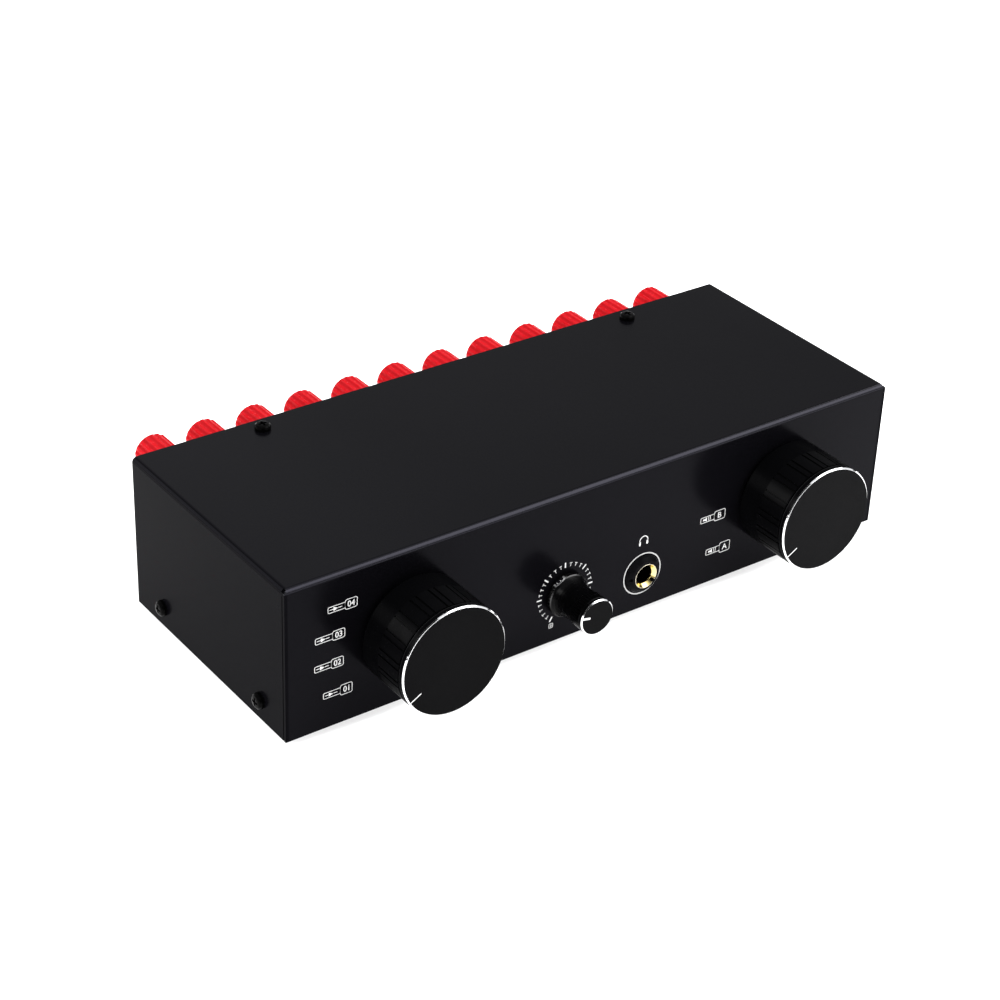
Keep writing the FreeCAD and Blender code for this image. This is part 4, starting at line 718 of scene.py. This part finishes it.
def area(name, direction, distance, width, height, power, color=(1, 1, 1)):
    data = bpy.data.lights.new(name, "AREA")
    data.shape = "RECTANGLE"
    data.size, data.size_y = width, height
    data.energy = power
    data.color = color
    obj = bpy.data.objects.new(name, data)
    d = Vector(direction).normalized()
    obj.location = d * distance + Vector((0, 0, 0.03))
    obj.rotation_euler = (-d).to_track_quat("-Z", "Y").to_euler()
    bpy.context.scene.collection.objects.link(obj)
    return obj


def box_light(name, direction, distance, width, height, radiance, color=(1, 1, 1)):
    return area(name, direction, distance, width, height, radiance * math.pi * width * height, color)


box_light("front_box", (0.52, -0.46, 0.66), 1.5, 1.1, 1.15, 3.4)
box_light("left_box", (-0.82, -0.12, 0.56), 1.5, 0.42, 0.5, 7.0)
box_light("right_box", (0.81, 0.16, 0.57), 1.5, 0.42, 0.5, 5.0)
kicker = box_light("kicker", (-0.80, -0.10, 0.50), 1.2, 0.34, 0.5, 105.0)
kicker.visible_diffuse = False
knobs_only = bpy.data.collections.new("knobs_only")
for name in ("amp_select_knob", "speaker_select_knob"):
    knobs_only.objects.link(NODES[name])
kicker.light_linking.receiver_collection = knobs_only

# a dark card behind the camera, seen only in reflections
card_mesh = bpy.data.meshes.new("dark_card")
card_mesh.from_pydata([(-0.58, -0.6, 0), (0.58, -0.6, 0), (0.58, 0.5, 0), (-0.58, 0.5, 0)], [], [(0, 1, 2, 3)])
card = bpy.data.objects.new("dark_card", card_mesh)
card_way = Vector((-0.45, -0.78, 0.44)).normalized()
card.location = card_way * 1.25 + Vector((0, 0, 0.03))
card.rotation_euler = (-card_way).to_track_quat("-Z", "Y").to_euler()
card.visible_camera = False
bpy.context.scene.collection.objects.link(card)
m = Look("dark_card").set(spec=0.1)
m.color(m.mix(m.noise(3.0, 3.0, 0.5), (0.010, 0.010, 0.010), (0.014, 0.014, 0.014)))
m.rough(m.remap(m.noise(20.0, 3.0, 0.5), 0.3, 0.7, 0.8, 0.95))
card_mesh.materials.append(m.mat)

# dark end of the sweep towards the camera, seen only in reflections
near_mesh = bpy.data.meshes.new("dark_sweep_end")
near_mesh.from_pydata([(-0.9, -0.30, 0), (0.30, -0.30, 0), (0.30, 0.5, 0), (-0.9, 0.5, 0)], [], [(0, 1, 2, 3)])
near_card = bpy.data.objects.new("dark_sweep_end", near_mesh)
near_card.location = (-0.72, -0.68, 0.0006)
near_card.rotation_euler = (0, 0, math.radians(-48))
near_card.visible_camera = False
bpy.context.scene.collection.objects.link(near_card)
near_mesh.materials.append(m.mat)

# low dark flag on the right, seen only in reflections
flag_mesh = bpy.data.meshes.new("right_flag")
flag_mesh.from_pydata([(0, -0.45, 0), (0, 0.30, 0), (0, 0.30, 0.14), (0, -0.45, 0.14)], [], [(0, 1, 2, 3)])
flag = bpy.data.objects.new("right_flag", flag_mesh)
flag.location = (1.5, 0, 0.001)
flag.visible_camera = False
bpy.context.scene.collection.objects.link(flag)
flag_mesh.materials.append(m.mat)

sun_data = bpy.data.lights.new("even_light", "SUN")
sun_data.energy = 5.4
sun_data.angle = math.radians(120)
sun_data.use_shadow = False
sun = bpy.data.objects.new("even_light", sun_data)
sun.rotation_euler = (math.radians(8), 0, 0)
bpy.context.scene.collection.objects.link(sun)
# the even light only brightens the floor
lit = bpy.data.collections.new("floor_only")
lit.objects.link(floor)
sun.light_linking.receiver_collection = lit

# ---------------------------------------------------------------------- camera

AZ, EL, ROLL = math.radians(-36.95504), math.radians(31.00644), math.radians(2.35269)
back = Vector((math.sin(AZ) * math.cos(EL), -math.cos(AZ) * math.cos(EL), math.sin(EL)))
fwd = -back
right = fwd.cross(Vector((0, 0, 1))).normalized()
down = fwd.cross(right)
cr, sr = math.cos(ROLL), math.sin(ROLL)
r0 = right * cr - down * sr
r1 = right * sr + down * cr
r2 = fwd
t = Vector((-0.26964, 0.30619, 3.05417))
centre = -(r0 * t.x + r1 * t.y + r2 * t.z)
eye = centre * 0.242 + Vector((-0.121, -0.044, 0.003))
cam_data = bpy.data.cameras.new("camera")
cam_data.sensor_width = 36.0
cam_data.sensor_fit = "HORIZONTAL"
cam_data.lens = 2425.22 / 1000.0 * 36.0
cam_data.clip_start, cam_data.clip_end = 0.01, 50.0
cam = bpy.data.objects.new("camera", cam_data)
turn = Matrix((r0, -r1, -r2)).transposed().to_4x4()
cam.matrix_world = Matrix.Translation(eye) @ turn
bpy.context.scene.collection.objects.link(cam)
bpy.context.scene.camera = cam

scene = bpy.context.scene
scene.view_settings.view_transform = "Standard"
scene.view_settings.look = "None"
scene.view_settings.exposure = 0.0
scene.view_settings.gamma = 1.0
